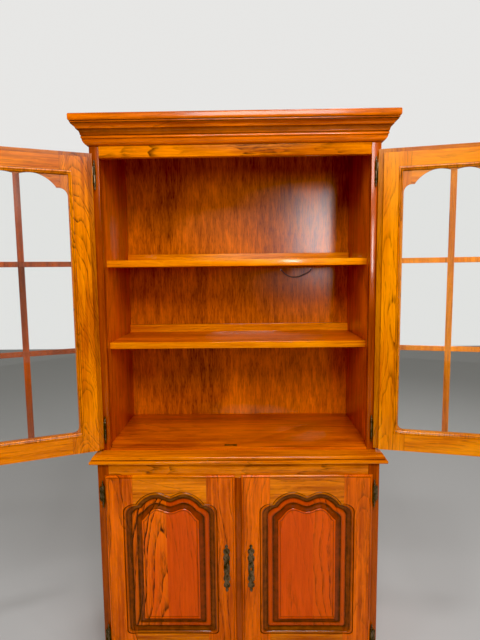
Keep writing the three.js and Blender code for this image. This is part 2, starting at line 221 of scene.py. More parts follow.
def startGroup(name, inputs, outputs):
    tree = bpy.data.node_groups.new(name, "ShaderNodeTree")
    for label, kind, value in inputs:
        socket = tree.interface.new_socket(label, in_out="INPUT", socket_type="NodeSocket" + kind)
        if value is not None:
            socket.default_value = value
    for label, kind in outputs:
        tree.interface.new_socket(label, in_out="OUTPUT", socket_type="NodeSocket" + kind)
    return tree, addNode(tree, "NodeGroupInput").outputs, addNode(tree, "NodeGroupOutput").inputs


# a fine relief of the surface, its depth in metres
def addBump(tree, shader, height, strength, depth):
    bump = addNode(tree, "ShaderNodeBump")
    bump.inputs["Strength"].default_value = strength
    bump.inputs["Distance"].default_value = depth
    tree.links.new(height, bump.inputs["Height"])
    tree.links.new(bump.outputs[0], shader.inputs["Normal"])


# the noises in oak, in metres, with the grain along Z
oakNoises = {
    "wander": ((9, 9, 2.6), 3, 0.55), "lean": ((2.2, 2.2, 2.6), 1, 0.4), "pores": ((430, 430, 20), 2, 0.6),
    "fibre": ((120, 120, 4.5), 4, 0.7), "stripe": ((42, 42, 1.8), 2, 0.5), "cloud": ((11, 11, 3.2), 3, 0.55),
    "dash": ((170, 170, 24), 2, 0.6), "fleck": ((70, 300, 34), 1, 0.5), "smudge": ((38, 38, 38), 3, 0.6),
}
oakGrain = {
    # every board is cut from another place in the tree
    "boardShift": (0.31, 0.17, 1.93),
    "lean": 0.12, "wander": 0.05,
    # along the count of rings: how fast their widths change, how much, and how fast their strength changes
    "widthPace": 0.45, "widthChange": 1.8, "strengthPace": 3.7, "strength": (0.32, 0.68, 0.15, 1.0),
    # across one ring: how its dark early wood starts and fades
    "ringStart": (0.0, 0.10), "ringFade": 2.6,
    "pores": (0.53, 0.66), "poreGround": 0.25, "poresInRing": 0.75,
    # what darkens the ground between the rings: from, to, weight
    "shade": {"fibre": (0.36, 0.64, 0.45), "stripe": (0.34, 0.66, 0.30), "cloud": (0.34, 0.68, 0.50),
              "fleck": (0.62, 0.72, -0.15)},
    "shadeLess": 0.22, "redShare": 0.85, "dash": (0.40, 0.60, 0.25, 1.0), "poreDark": 0.5,
    # glaze and painted shade in the hollows: the noise that thins it, and how it changes roughness and coat
    "glazeAndShadeCover": (0.25, 0.75, 0.84, 1.06),
    "rough": 0.24, "poreRough": 0.22, "smudgeRough": 0.16, "glazeAndShadeRough": 0.1,
    "fibreHeight": 0.25, "ringHeight": -0.3, "coat": 0.5, "glazeAndShadeCoat": -0.1,
}


# growth rings, pores and fibres of a sawn oak board
def makeOakFigure():
    tree, given, result = startGroup(
        "oakFigure",
        [("Vector", "Vector", None), ("Board", "Float", 0.0), ("Glaze", "Float", 0.0), ("Tone", "Float", 0.0),
         ("Pale", "Color", (0.6, 0.2, 0.03, 1)), ("Deep", "Color", (0.3, 0.07, 0.01, 1)),
         ("Ruddy", "Color", (0.5, 0.1, 0.01, 1)), ("Vein", "Color", (0.1, 0.02, 0.004, 1)),
         ("Groove", "Color", (0.05, 0.015, 0.004, 1)), ("Ring Width", "Float", 0.007),
         ("Pith Depth", "Float", 0.05), ("Taper", "Float", 0.03), ("Figure", "Float", 0.6)],
        [("Colour", "Color"), ("Roughness", "Float"), ("Height", "Float"), ("Coat", "Float")])
    grain, vector = oakGrain, given["Vector"]
    spread = addNode(tree, "ShaderNodeCombineXYZ")
    for socket, factor in zip(spread.inputs, grain["boardShift"]):
        feed(tree, socket, calc(tree, "MULTIPLY", given["Board"], factor))
    shifted = stretch(tree, vector, (1, 1, 1), spread.outputs[0])
    layers = {label: noise(tree, shifted, *values) for label, values in oakNoises.items()}

    # how far each point is from the pith, counted in rings
    parts = addNode(tree, "ShaderNodeSeparateXYZ")
    tree.links.new(vector, parts.inputs[0])
    side = plus(tree, parts.outputs[0], calc(tree, "SUBTRACT", layers["lean"], 0.5), grain["lean"])
    inward = calc(tree, "ADD", parts.outputs[1], given["Pith Depth"])
    squares = [calc(tree, "MULTIPLY", reach, reach) for reach in (side, inward)]
    far = calc(tree, "SQRT", calc(tree, "ADD", *squares))
    along = plus(tree, parts.outputs[2], given["Board"], grain["boardShift"][2])
    ringPlace = plus(tree, far, along, given["Taper"])
    ringPlace = plus(tree, ringPlace, layers["wander"], grain["wander"])
    count = calc(tree, "DIVIDE", ringPlace, given["Ring Width"])
    count = plus(tree, count, lineNoise(tree, count, grain["widthPace"], 1), grain["widthChange"])

    # the dark early wood of each ring, with its pores
    phase = calc(tree, "FRACT", count)
    early = calc(tree, "POWER", calc(tree, "SUBTRACT", 1.0, phase), grain["ringFade"])
    early = calc(tree, "MULTIPLY", early, remap(tree, phase, *grain["ringStart"]))
    strong = lineNoise(tree, calc(tree, "FLOOR", count), grain["strengthPace"])
    early = calc(tree, "MULTIPLY", early, remap(tree, strong, *grain["strength"]))
    pores = remap(tree, layers["pores"], *grain["pores"])
    pores = calc(tree, "MULTIPLY", pores, plus(tree, grain["poreGround"], early, grain["poresInRing"]))

    share = 0.0
    for label, (low, high, weight) in grain["shade"].items():
        share = plus(tree, share, remap(tree, layers[label], low, high), weight)
    share = calc(tree, "SUBTRACT", share, grain["shadeLess"], clamp=True)
    redness = calc(tree, "MULTIPLY", given["Tone"], grain["redShare"])
    ground = blendColours(tree, redness, given["Pale"], given["Ruddy"])
    colour = blendColours(tree, share, ground, given["Deep"])
    veins = calc(tree, "MULTIPLY", early, given["Figure"])
    veins = calc(tree, "MULTIPLY", veins, calc(tree, "SUBTRACT", 1.0, redness))
    veins = calc(tree, "MULTIPLY", veins, remap(tree, layers["dash"], *grain["dash"]))
    veins = plus(tree, veins, pores, grain["poreDark"], clamp=True)
    colour = blendColours(tree, veins, colour, given["Vein"])
    # glaze and painted shade: where a piece's glaze value is high, thinned in places by a noise, the colour
    # goes to the groove colour (real glaze in the hollows, painted shade in the coves, quirks and recesses),
    # and the surface is rougher with less coat
    glaze_and_shade_share = remap(tree, layers["smudge"], *grain["glazeAndShadeCover"])
    glaze_and_shade_share = calc(tree, "MULTIPLY", given["Glaze"], glaze_and_shade_share, clamp=True)
    tree.links.new(blendColours(tree, glaze_and_shade_share, colour, given["Groove"]), result["Colour"])

    rough = calc(tree, "MULTIPLY", pores, grain["poreRough"])
    rough = plus(tree, rough, layers["smudge"], grain["smudgeRough"])
    rough = plus(tree, rough, glaze_and_shade_share, grain["glazeAndShadeRough"])
    tree.links.new(calc(tree, "ADD", rough, grain["rough"]), result["Roughness"])
    height = calc(tree, "MULTIPLY", layers["fibre"], grain["fibreHeight"])
    height = calc(tree, "SUBTRACT", height, pores)
    tree.links.new(plus(tree, height, early, grain["ringHeight"]), result["Height"])
    tree.links.new(plus(tree, grain["coat"], glaze_and_shade_share, grain["glazeAndShadeCoat"], clamp=True), result["Coat"])
    return tree


oakFigure = makeOakFigure()
upward, across, backward = (0, 0, 1), (1, 0, 0), (0, 1, 0)


# the frame of a board: Z runs along the grain and Y out of its wide face
def boardTurn(along, outward, spin=0.0):
    turn = Matrix.Rotation(spin, 3, "Z")
    zAxis, yAxis = turn @ Vector(along), turn @ Vector(outward)
    return Matrix((yAxis.cross(zAxis), yAxis, zAxis)).transposed().to_euler("XYZ")


def startMaterial(name):
    material = bpy.data.materials.new(name)
    material.use_nodes = True
    tree = material.node_tree
    shader = tree.nodes["Principled BSDF"]
    return material, tree, shader


# sizes are in metres, and the colours are linear
# groove is the colour of the glaze and painted shade in the hollows
oakFinish = {"ruddy": (0.60, 0.044, 0.001), "groove": (0.052, 0.0095, 0.002), "coatRough": 0.12,
             "specular": 0.12, "relief": 0.22, "reliefDepth": 0.0004}


def makeOak(name, tone, along=upward, outward=backward, spin=0.0, centre=(0, 0, 0), rings=0.0075, pith=0.05,
            taper=0.03, figure=0.6):
    pale, deep, vein = tones[tone]
    material, tree, shader = startMaterial(name)
    place = addNode(tree, "ShaderNodeTexCoord")
    mapping = addNode(tree, "ShaderNodeMapping", vector_type="TEXTURE")
    mapping.inputs["Location"].default_value = [value / 1000 for value in centre]
    mapping.inputs["Rotation"].default_value = boardTurn(along, outward, spin)
    tree.links.new(place.outputs["Object"], mapping.inputs["Vector"])
    figureNode = addNode(tree, "ShaderNodeGroup", node_tree=oakFigure)
    tree.links.new(mapping.outputs[0], figureNode.inputs["Vector"])
    # the glaze attribute holds real glaze and painted shade in the hollows; board and tone are per board
    for label in ("board", "glaze", "tone"):
        reader = addNode(tree, "ShaderNodeAttribute", attribute_name=label)
        tree.links.new(reader.outputs["Fac"], figureNode.inputs[label.capitalize()])
    colours = {"Pale": pale, "Deep": deep, "Vein": vein, "Ruddy": oakFinish["ruddy"],
               "Groove": oakFinish["groove"]}
    for label, colour in colours.items():
        figureNode.inputs[label].default_value = (*colour, 1)
    sizes = {"Ring Width": rings, "Pith Depth": pith, "Taper": taper, "Figure": figure}
    for label, value in sizes.items():
        figureNode.inputs[label].default_value = value
    outputs = {"Colour": "Base Color", "Roughness": "Roughness", "Coat": "Coat Weight"}
    for label, socket in outputs.items():
        tree.links.new(figureNode.outputs[label], shader.inputs[socket])
    addBump(tree, shader, figureNode.outputs["Height"], oakFinish["relief"], oakFinish["reliefDepth"])
    shader.inputs["Coat Roughness"].default_value = oakFinish["coatRough"]
    shader.inputs["Specular IOR Level"].default_value = oakFinish["specular"]
    return material


# pale, deep and vein tones of the stained oak, linear
tones = {
    "straw": ((0.98, 0.300, 0.004), (0.62, 0.120, 0.002), (0.090, 0.012, 0.0005)),
    "honey": ((0.96, 0.255, 0.003), (0.42, 0.060, 0.001), (0.070, 0.009, 0.0005)),
    "amber": ((0.82, 0.165, 0.002), (0.32, 0.038, 0.001), (0.060, 0.008, 0.0005)),
    "copper": ((0.96, 0.165, 0.001), (0.42, 0.046, 0.001), (0.060, 0.007, 0.0005)),
    "russet": ((0.46, 0.070, 0.002), (0.17, 0.019, 0.001), (0.045, 0.006, 0.0005)),
    "red": ((0.98, 0.165, 0.001), (0.80, 0.090, 0.001), (0.050, 0.005, 0.0005)),
    # inner is darker than the outer tones: painted shade for the boards inside the buffet
    "inner": ((0.50, 0.088, 0.002), (0.18, 0.022, 0.001), (0.045, 0.006, 0.0005)),
}
openAngle = {"left": 157.7, "right": 167.6}
hands = {"left": 1, "right": -1}
glassTones = {"left": "honey", "right": "straw"}
# the left door's bars are darker than the right door's: painted shade on the left door
barTones = {"left": "russet", "right": "straw"}
glassTaper = {"left": 0.17, "right": 0.02}
doorSpin = {name: math.radians(-hands[name] * openAngle[name]) for name in hands}

# name, tone, then how the boards are cut: a larger taper or figure gives a wilder and stronger figure
carcassOaks = {
    "postUp": ("oakPost", "russet", {"rings": 0.009, "pith": 0.09}),
    "frameAcross": ("oakFrameAcross", "honey", {
        "along": across, "rings": 0.010, "pith": 0.04, "centre": (120, 0, 1915), "taper": 0.05,
        "figure": 1.7}),
    "baseAcross": ("oakBaseAcross", "honey", {
        "along": across, "rings": 0.010, "pith": 0.04, "centre": (-90, 0, 800), "taper": 0.04,
        "figure": 1.2}),
    "crownAcross": ("oakCrownAcross", "amber", {
        "along": across, "rings": 0.009, "pith": 0.09, "centre": (0, -440, 1960), "figure": 0.5}),
    "crownBack": ("oakCrownBack", "amber", {
        "along": backward, "outward": across, "rings": 0.009, "pith": 0.09, "centre": (0, 0, 1960),
        "figure": 0.5}),
    "top": ("oakTop", "honey", {
        "along": across, "outward": upward, "rings": 0.013, "pith": 0.03, "centre": (-60, -300, 850),
        "taper": 0.05}),
    "shelf": ("oakShelf", "amber", {
        "along": across, "outward": upward, "rings": 0.013, "pith": 0.04, "centre": (80, -220, 1400),
        "taper": 0.05}),
    "lip": ("oakLip", "straw", {"along": across, "rings": 0.009, "centre": (40, 0, 1400)}),
    "sideOut": ("oakSide", "amber", {
        "outward": across, "rings": 0.014, "pith": 0.045, "centre": (0, -210, 1000), "taper": 0.05}),
    # the boards inside the buffet get the darker inner oak: painted shade
    "inner": ("oakInner", "inner", {
        "along": across, "outward": upward, "rings": 0.008, "pith": 0.04, "centre": (0, -200, 300)}),
}
oaks = {key: makeOak(name, tone, **cut) for key, (name, tone, cut) in carcassOaks.items()}


def makeDoorOaks(name):
    side, label, spin = -hands[name], name.capitalize(), doorSpin[name]
    oaks["panelStile" + label] = makeOak(
        "oakPanelStile" + label, "copper", rings=0.011, pith=0.07, centre=(side * 440, -470, 500), taper=0.04,
        figure=1.2)
    oaks["panelRail" + label] = makeOak(
        "oakPanelRail" + label, "honey", along=across, rings=0.011, pith=0.03, centre=(side * 200, -470, 730),
        taper=0.05)
    oaks["panelField" + label] = makeOak(
        "oakPanelField" + label, "red", rings=0.019, pith=0.03, centre=(side * 235 - 35, -470, 450),
        taper=0.13, figure=2.4)
    oaks["glassStile" + label] = makeOak(
        "oakGlassStile" + label, glassTones[name], spin=spin, rings=0.0055, pith=0.035,
        centre=(side * 540, -440, 1400), taper=glassTaper[name], figure=1.3)
    oaks["glassRail" + label] = makeOak(
        "oakGlassRail" + label, glassTones[name], along=across, spin=spin, rings=0.010, pith=0.04,
        centre=(side * 700, -600, 1860), taper=0.05)
    oaks["bars" + label] = makeOak("oakBars" + label, barTones[name], spin=spin, pith=0.09)


for name in hands:
    makeDoorOaks(name)

veneer = {
    "pale": (0.84, 0.180, 0.003, 1), "deep": (0.150, 0.015, 0.0008, 1), "specular": 0.12, "coat": 0.6,
    "coatRough": 0.2, "rough": (0.30, 0.48), "relief": 0.15, "reliefDepth": 0.0003,
    "noises": {"ripple": ((52, 1, 8.5), 4, 0.62, 0.5), "patch": ((5.0, 1, 1.6), 2, 0.5, 0.6),
               "fine": ((190, 1, 16), 3, 0.65), "dash": ((300, 1, 42), 1, 0.5)},
    # from, to, weight
    "shade": {"ripple": (0.34, 0.66, 0.36), "patch": (0.3, 0.7, 0.40), "fine": (0.35, 0.65, 0.26),
              "dash": (0.52, 0.66, 0.20)},
    "shadeLess": 0.08,
}


def makeVeneer():
    material, tree, shader = startMaterial("backVeneer")
    place = addNode(tree, "ShaderNodeTexCoord").outputs["Object"]
    layers = {label: noise(tree, place, *values) for label, values in veneer["noises"].items()}
    share = 0.0
    for label, (low, high, weight) in veneer["shade"].items():
        share = plus(tree, share, remap(tree, layers[label], low, high), weight)
    share = calc(tree, "SUBTRACT", share, veneer["shadeLess"], clamp=True)
    tree.links.new(blendColours(tree, share, veneer["pale"], veneer["deep"]), shader.inputs["Base Color"])
    tree.links.new(remap(tree, layers["fine"], 0, 1, *veneer["rough"]), shader.inputs["Roughness"])
    shader.inputs["Specular IOR Level"].default_value = veneer["specular"]
    shader.inputs["Coat Weight"].default_value = veneer["coat"]
    shader.inputs["Coat Roughness"].default_value = veneer["coatRough"]
    addBump(tree, shader, layers["fine"], veneer["relief"], veneer["reliefDepth"])
    return material


brass = {
    "bright": (0.22, 0.145, 0.085, 1), "tarnished": (0.028, 0.018, 0.013, 1),
    "speck": (0.02, 0.012, 0.007, 1),
    "tarnishNoise": ((95, 95, 60), 4, 0.65), "speckNoise": ((620, 620, 620), 2, 0.5),
    "tarnishing": (0.35, 0.68), "specks": (0.55, 0.75, 0, 0.5), "rough": (0.28, 0.52), "metallic": 0.85,
    "relief": 0.25, "reliefDepth": 0.0003, "speckHeight": 0.4,
}


def makeBrass():
    material, tree, shader = startMaterial("antiqueBrass")
    place = addNode(tree, "ShaderNodeTexCoord").outputs["Object"]
    tarnish = noise(tree, place, *brass["tarnishNoise"])
    speck = noise(tree, place, *brass["speckNoise"])
    dark = remap(tree, tarnish, *brass["tarnishing"])
    colour = blendColours(tree, dark, brass["bright"], brass["tarnished"])
    colour = blendColours(tree, remap(tree, speck, *brass["specks"]), colour, brass["speck"])
    tree.links.new(colour, shader.inputs["Base Color"])
    tree.links.new(remap(tree, dark, 0, 1, *brass["rough"], smooth=False), shader.inputs["Roughness"])
    shader.inputs["Metallic"].default_value = brass["metallic"]
    height = plus(tree, tarnish, speck, brass["speckHeight"])
    addBump(tree, shader, height, brass["relief"], brass["reliefDepth"])
    return material


def makeGlass():
    material, tree, shader = startMaterial("clearGlass")
    values = {"Base Color": (0.97, 0.985, 0.98, 1), "Roughness": 0.0, "IOR": 1.45, "Transmission Weight": 1.0}
    for label, value in values.items():
        shader.inputs[label].default_value = value
    return material


sheath = {"dark": (0.018, 0.014, 0.011, 1), "dusty": (0.075, 0.055, 0.04, 1),
          "dustNoise": ((180, 180, 180), 3, 0.6), "dust": (0.4, 0.75, 0, 0.6), "rough": (0.42, 0.68)}


def makeSheath():
    material, tree, shader = startMaterial("flexSheath")
    place = addNode(tree, "ShaderNodeTexCoord").outputs["Object"]
    dust = noise(tree, place, *sheath["dustNoise"])
    colour = blendColours(tree, remap(tree, dust, *sheath["dust"]), sheath["dark"], sheath["dusty"])
    tree.links.new(colour, shader.inputs["Base Color"])
    tree.links.new(remap(tree, dust, 0, 1, *sheath["rough"], smooth=False), shader.inputs["Roughness"])
    return material


finishes = {"veneer": makeVeneer(), "brass": makeBrass(), "glass": makeGlass(), "sheath": makeSheath()}
print("materials made:", len(bpy.data.materials))


# Pieces: shared steps

smoothAngle = math.radians(32)
flatAngle = math.radians(1)
edgeAngle = math.radians(30)
weld = 0.00001
boardStep = 0.618     # moves each board on to its own place in the oak
boardCount = 0


def newPiece(name, points, faces, glaze=None, faceKinds=None):
    mesh = bpy.data.meshes.new(name)
    mesh.from_pydata([[value / 1000 for value in point] for point in points], [], faces)
    # each point's share of glaze and painted shade in the hollows
    layer = mesh.attributes.new("glaze", "FLOAT", "POINT")
    if glaze:
        layer.data.foreach_set("value", glaze)
    if faceKinds:
        mesh.polygons.foreach_set("material_index", faceKinds)
    return linkNew(name, mesh)


def copyPiece(piece, name):
    return linkNew(name, piece.data.copy())


# the faces of a tube whose rings each have a number of points
def tubeFaces(count, ringCount, closed):
    faces = []
    for ring in range(ringCount if closed else ringCount - 1):
        here, there = ring * count, (ring + 1) % ringCount * count
        for step in range(count):
            ahead = (step + 1) % count
            faces.append((here + step, here + ahead, there + ahead, there + step))
    if not closed:
        faces += [tuple(range(count)), tuple(range((ringCount - 1) * count, ringCount * count))]
    return faces


def closeUp(piece):
    startEdit(piece)
    bpy.ops.mesh.remove_doubles(threshold=weld)
    bpy.ops.mesh.dissolve_degenerate(threshold=weld / 10)
    bpy.ops.mesh.select_all(action="SELECT")
    bpy.ops.mesh.normals_make_consistent(inside=False)
    endEdit()


def settle(piece, body, materials, replaced=None):
    global boardCount
    pick(piece)
    if piece.data.materials:
        piece.data.materials.clear()
    for material in materials:
        piece.data.materials.append(material)
    bpy.ops.object.shade_smooth_by_angle(angle=smoothAngle)
    if "board" not in piece.data.attributes:
        boardCount += 1
        layer = piece.data.attributes.new("board", "FLOAT", "POINT")
        layer.data.foreach_set("value", [boardCount * boardStep] * len(piece.data.vertices))
    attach(piece, body)
    if replaced:
        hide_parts(replaced)


def coverNode(node, material):
    node.data.materials.clear()
    node.data.materials.append(material)


def joinPieces(pieces, name):
    pick(pieces[0])
    for other in pieces[1:]:
        other.select_set(True)
    bpy.ops.object.join()
    pieces[0].name = pieces[0].data.name = name
    return pieces[0]


def cutAway(piece, cutter):
    applyModifier(piece, "BOOLEAN", operation="DIFFERENCE", object=cutter, solver="EXACT")
    bpy.data.objects.remove(cutter)


# cuts across X where a board's colour changes
def scoreAcross(piece, lines):
    startEdit(piece)
    for line in lines:
        bpy.ops.mesh.select_all(action="SELECT")
        bpy.ops.mesh.bisect(plane_co=(line / 1000, 0, 0), plane_no=(1, 0, 0))
    endEdit()


def camelName(node):
    first, *others = node.split("_")
    return first + "".join(word.capitalize() for word in others)


# a copy of a plain board with its sharp edges eased; a second oak goes on its front edge
def easedBoard(node, oakNames, ease):
    piece = copyPiece(frame["nodes"][node], camelName(node))
    piece.data.attributes.new("glaze", "FLOAT", "POINT")
    startEdit(piece)
    bpy.ops.mesh.remove_doubles(threshold=weld)
    bpy.ops.mesh.dissolve_limited(angle_limit=flatAngle)
    endEdit()
    applyModifier(piece, "BEVEL", width=ease / 1000, segments=3 if ease > 1 else 2, limit_method="ANGLE",
                  angle_limit=edgeAngle)
    settle(piece, "carcass", [oaks[key] for key in oakNames], node)
    if len(oakNames) > 1:
        for face in piece.data.polygons:
            face.material_index = 1 if face.normal.y < -0.6 else 0


# Carcass

# oaks, how far the edges are eased, and the boards
carcassBoards = [
    (["sideOut"], 1.2, ["base_side_left", "base_side_right"]),
    (["postUp"], 2.0, ["base_stile_left", "base_stile_right"]),
    (["baseAcross"], 0.8, ["base_top_rail"]),
    (["postUp"], 0.8, ["base_centre_stile"]),
    (["baseAcross"], 1.5, ["base_apron"]),
    (["inner"], 0.5, ["base_back", "base_floor"]),
    (["inner"], 0.8, ["base_shelf"]),
    (["sideOut"], 0.8, ["hutch_side_left", "hutch_side_right"]),
    (["postUp"], 1.5, ["hutch_stile_left", "hutch_stile_right"]),
    (["frameAcross"], 1.5, ["hutch_frieze_rail"]),
    (["shelf"], 0.6, ["hutch_floor"]),
    (["shelf", "lip"], 2.2, ["hutch_shelf_lower", "hutch_shelf_upper"]),
]
for oakNames, ease, nodes in carcassBoards:
    for node in nodes:
        easedBoard(node, oakNames, ease)
coverNode(frame["nodes"]["hutch_back"], finishes["veneer"])
print("carcass boards eased:", boardCount)


# A moulding that runs round the front and both ends, mitred at the corners. Each row of its profile is
# (half width, depth in front of the back, height, glaze and painted shade in its hollows). A hollow one goes
# round the carcass and closes on itself, and a solid one is a board with a moulded edge.
def mitredRun(name, rows, endKind=1, hollow=False):
    points, glaze, faces, kinds = [], [], [], []
    for halfWidth, depth, height, glaze_and_shade_level in rows:
        corners = [(-1, 0), (-1, 1), (-1, depth), (1, depth), (1, 1), (1, 0)]
        points += [(side * halfWidth, -forward, height) for side, forward in corners]
        # the fourth value is glaze and painted shade; the bare rear face gets none
        glaze += [glaze_and_shade_level if forward else 0 for side, forward in corners]     # the bare rear face has no glaze
    around, frontColumn = len(corners), 2
    for row in range(len(rows) if hollow else len(rows) - 1):
        for column in range(around - 1):
            here, there = row * around + column, (row + 1) % len(rows) * around + column
            faces.append((here, here + 1, there + 1, there))
            kinds.append(0 if column == frontColumn else endKind)
    last = (len(rows) - 1) * around
    nearEnd = [row * around for row in range(len(rows))]
    farEnd = [index + around - 1 for index in reversed(nearEnd)]
    if hollow:
        faces += [tuple(nearEnd), tuple(farEnd)]
    else:
        faces += [tuple(reversed(range(around))), tuple(range(last, last + around)), tuple(nearEnd + farEnd)]
    kinds += [0] * (len(faces) - len(kinds))
    piece = newPiece(name, points, faces, glaze, kinds)
    closeUp(piece)
    return piece


crown = {
    "bodyHalf": 500, "bodyDepth": 410, "sideReach": 49, "frontReach": 56,
    # outward reach from 0 to 1, height, glaze and painted shade in the hollows
    "moulding": [
        (0.00, 1930.0, 0.9), (0.03, 1930.0, 0.5), (0.10, 1931.2, 0.1), (0.19, 1934.2, 0), (0.27, 1938.8, 0),
        (0.32, 1944.0, 0), (0.335, 1947.2, 0.1), (0.318, 1949.0, 0.7), (0.33, 1949.8, 0.5),
        (0.365, 1950.6, 0), (0.385, 1952.4, 0), (0.390, 1954.5, 0), (0.383, 1956.6, 0), (0.365, 1958.2, 0.2),
        (0.355, 1959.4, 0.8),
        (0.365, 1960.4, 0.8), (0.40, 1961.0, 0.5), (0.412, 1961.8, 0.35), (0.42, 1964.5, 0.45),
        (0.435, 1968.0, 0.6), (0.465, 1972.0, 0.65), (0.51, 1975.2, 0.65), (0.56, 1977.4, 0.6),
        (0.60, 1978.4, 0.5), (0.625, 1978.8, 0.2), (0.635, 1980.6, 0), (0.66, 1983.0, 0),
        (0.71, 1986.2, 0), (0.78, 1989.0, 0), (0.845, 1990.8, 0.15), (0.87, 1991.6, 0.7), (0.86, 1993.0, 1),
        (0.875, 1994.0, 0.8), (0.90, 1994.8, 0.3), (0.915, 1996.6, 0.2), (0.91, 1998.6, 0.5),
        (0.88, 1999.8, 1), (0.00, 1999.8, 1),
    ],
    "cap": [
        (0.86, 2000.0, 0.9), (0.90, 2000.05, 0.5), (0.955, 2000.4, 0.1), (0.985, 2002.0, 0), (1.0, 2004.8, 0),
        (1.0, 2008.0, 0), (1.0, 2016.0, 0), (0.995, 2019.2, 0), (0.98, 2021.6, 0), (0.95, 2022.8, 0),
        (0.91, 2023.0, 0), (0.86, 2023.0, 0),
    ],
}


def makeCrown():
    for part in ("moulding", "cap"):
        rows = []
        for reach, height, glaze_and_shade_level in crown[part]:
            halfWidth = crown["bodyHalf"] + reach * crown["sideReach"]
            rows.append((halfWidth, crown["bodyDepth"] + reach * crown["frontReach"], height, glaze_and_shade_level))
        node = "crown_" + part
        piece = mitredRun(camelName(node), rows, hollow=part == "moulding")
        settle(piece, "carcass", [oaks["crownAcross"], oaks["crownBack"]], node)


makeCrown()

buffetTop = {
    "half": 525, "depth": 482, "top": 850,
    # inset from the edge, height below the upper surface, glaze and painted shade in the quirk
    "edge": [
        (9, 26, 0), (4, 26, 0), (1.6, 25.2, 0), (0.4, 23.4, 0), (0, 21, 0), (0, 18.4, 0), (0.5, 16, 0),
        (1.8, 14.2, 0), (4.2, 13.2, 0), (7.2, 12.9, 0.5), (8.4, 12.7, 1), (8.8, 11.8, 1), (8.0, 10.8, 0.3),
        (7.7, 9, 0), (7.7, 6.4, 0), (8.2, 4.0, 0), (9.4, 2.0, 0), (11.4, 0.7, 0), (14, 0.1, 0), (16, 0, 0),
        (19, 0, 0),
    ],
}


def makeBuffetTop():
    rows = [(buffetTop["half"] - inset, buffetTop["depth"] - inset, buffetTop["top"] - drop, glaze_and_shade_level)
            for inset, drop, glaze_and_shade_level in buffetTop["edge"]]
    piece = mitredRun("buffetTop", rows, endKind=0)
    settle(piece, "carcass", [oaks["top"]], "buffet_top")


makeBuffetTop()
print("crown and buffet top moulded")


# Outlines of the doors' openings, as four runs of (reach, height)

curveSteps = {"foot": 8, "sill": 8, "side": 8, "arch": 12}


def bezier(start, first, second, end, steps):
    run = []
    for step in range(steps):
        t = step / steps
        weights = ((1 - t) ** 3, 3 * t * (1 - t) ** 2, 3 * t * t * (1 - t), t ** 3)
        weighted = list(zip(weights, (start, first, second, end)))
        run.append(tuple(sum(weight * point[axis] for weight, point in weighted) for axis in (0, 1)))
    return run


def straight(start, end, steps):
    return [tuple(a + (b - a) * step / steps for a, b in zip(start, end)) for step in range(steps)]


def mirrorRun(run, end):
    return [(-x, z) for x, z in reversed(run[1:] + [end])]


def archedOutline(door, grow=0.0):
    arch, spring = door["arch"], door["springing"]
    half, sill = door["halfWidth"] + grow, door["sill"] - grow
    shoulder = (arch["shoulderReach"] + 0.4 * grow, spring + arch["shoulder"] + grow)
    peak = (arch["peakReach"], spring + arch["peak"] + grow)
    cusp = (0, spring + arch["cusp"] + 1.5 * grow)
    steps = curveSteps["arch"]
    halfArch = bezier((half, spring), (half, spring + 0.8 * (arch["shoulder"] + grow)),
                      (shoulder[0] + 16, shoulder[1] + 3), shoulder, steps)
    halfArch += bezier(shoulder, (shoulder[0] - 14, shoulder[1] + 24), (peak[0] + 30, peak[1]), peak, steps)
    halfArch += bezier(peak, (peak[0] - 18, peak[1]), (12, cusp[1] + 3), cusp, steps)
    rise, drop, run = door["foot"]
    start, corner, end = (-half, sill + rise), (-half, sill - drop), (-half + run, sill)
    handles = [tuple(a + 2 / 3 * (b - a) for a, b in zip(ending, corner)) for ending in (start, end)]
    footCurve = bezier(start, *handles, end, curveSteps["foot"])
    foot = footCurve + straight(end, (half - run, sill), curveSteps["sill"]) + mirrorRun(footCurve, end)
    right = straight((half, sill + rise), (half, spring), curveSteps["side"])
    left = straight((-half, spring), start, curveSteps["side"])
    return foot + right + halfArch + mirrorRun(halfArch, cusp) + left


# a square-cornered outline with as many points as an arched one
def squareOutline(door, left, right, bottom, top):
    half, rise = door["halfWidth"], door["foot"][0]
    low, high = door["sill"] + rise, door["springing"]
    low, high = max(low, bottom + 1), min(high, top - 1)
    foot, sill, side, arch = (curveSteps[key] for key in ("foot", "sill", "side", "arch"))
    run = straight((left, low), (left, bottom), foot // 2)
    run += straight((left, bottom), (right, bottom), foot + sill)
    run += straight((right, bottom), (right, low), foot // 2)
    run += straight((right, low), (right, high), side)
    run += straight((right, high), (right, top), arch // 2)
    run += straight((right, top), (left, top), 5 * arch)
    run += straight((left, top), (left, high), arch // 2)
    run += straight((left, high), (left, low), side)
    return run


# the raised field: square below, and two soft arches above
def fieldOutline(door):
    field = door["field"]
    half, bottom, spring = field["halfWidth"], field["bottom"], field["shoulder"]
    peakReach, peak, dip = field["peakReach"], field["peak"], field["dip"]
    foot, sill, side, arch = (curveSteps[key] for key in ("foot", "sill", "side", "arch"))
    low = bottom + 9
    run = straight((-half, low), (-half, bottom), foot // 2)
    run += straight((-half, bottom), (half, bottom), foot + sill)
    run += straight((half, bottom), (half, low), foot // 2)
    run += straight((half, low), (half, spring), side)
    halfArch = bezier((half, spring), (half - 13, spring + 5), (peakReach + 24, peak - 1), (peakReach, peak),
                      2 * arch)
    halfArch += bezier((peakReach, peak), (peakReach - 20, peak), (18, dip), (0, dip), arch)
    run += halfArch + mirrorRun(halfArch, (0, dip))
    run += straight((-half, spring), (-half, low), side)
    return run


def between(first, second, share):
    return [tuple(a + (b - a) * share for a, b in zip(p, q)) for p, q in zip(first, second)]


def moved(outline, centre):
    return [(reach + centre, height) for reach, height in outline]


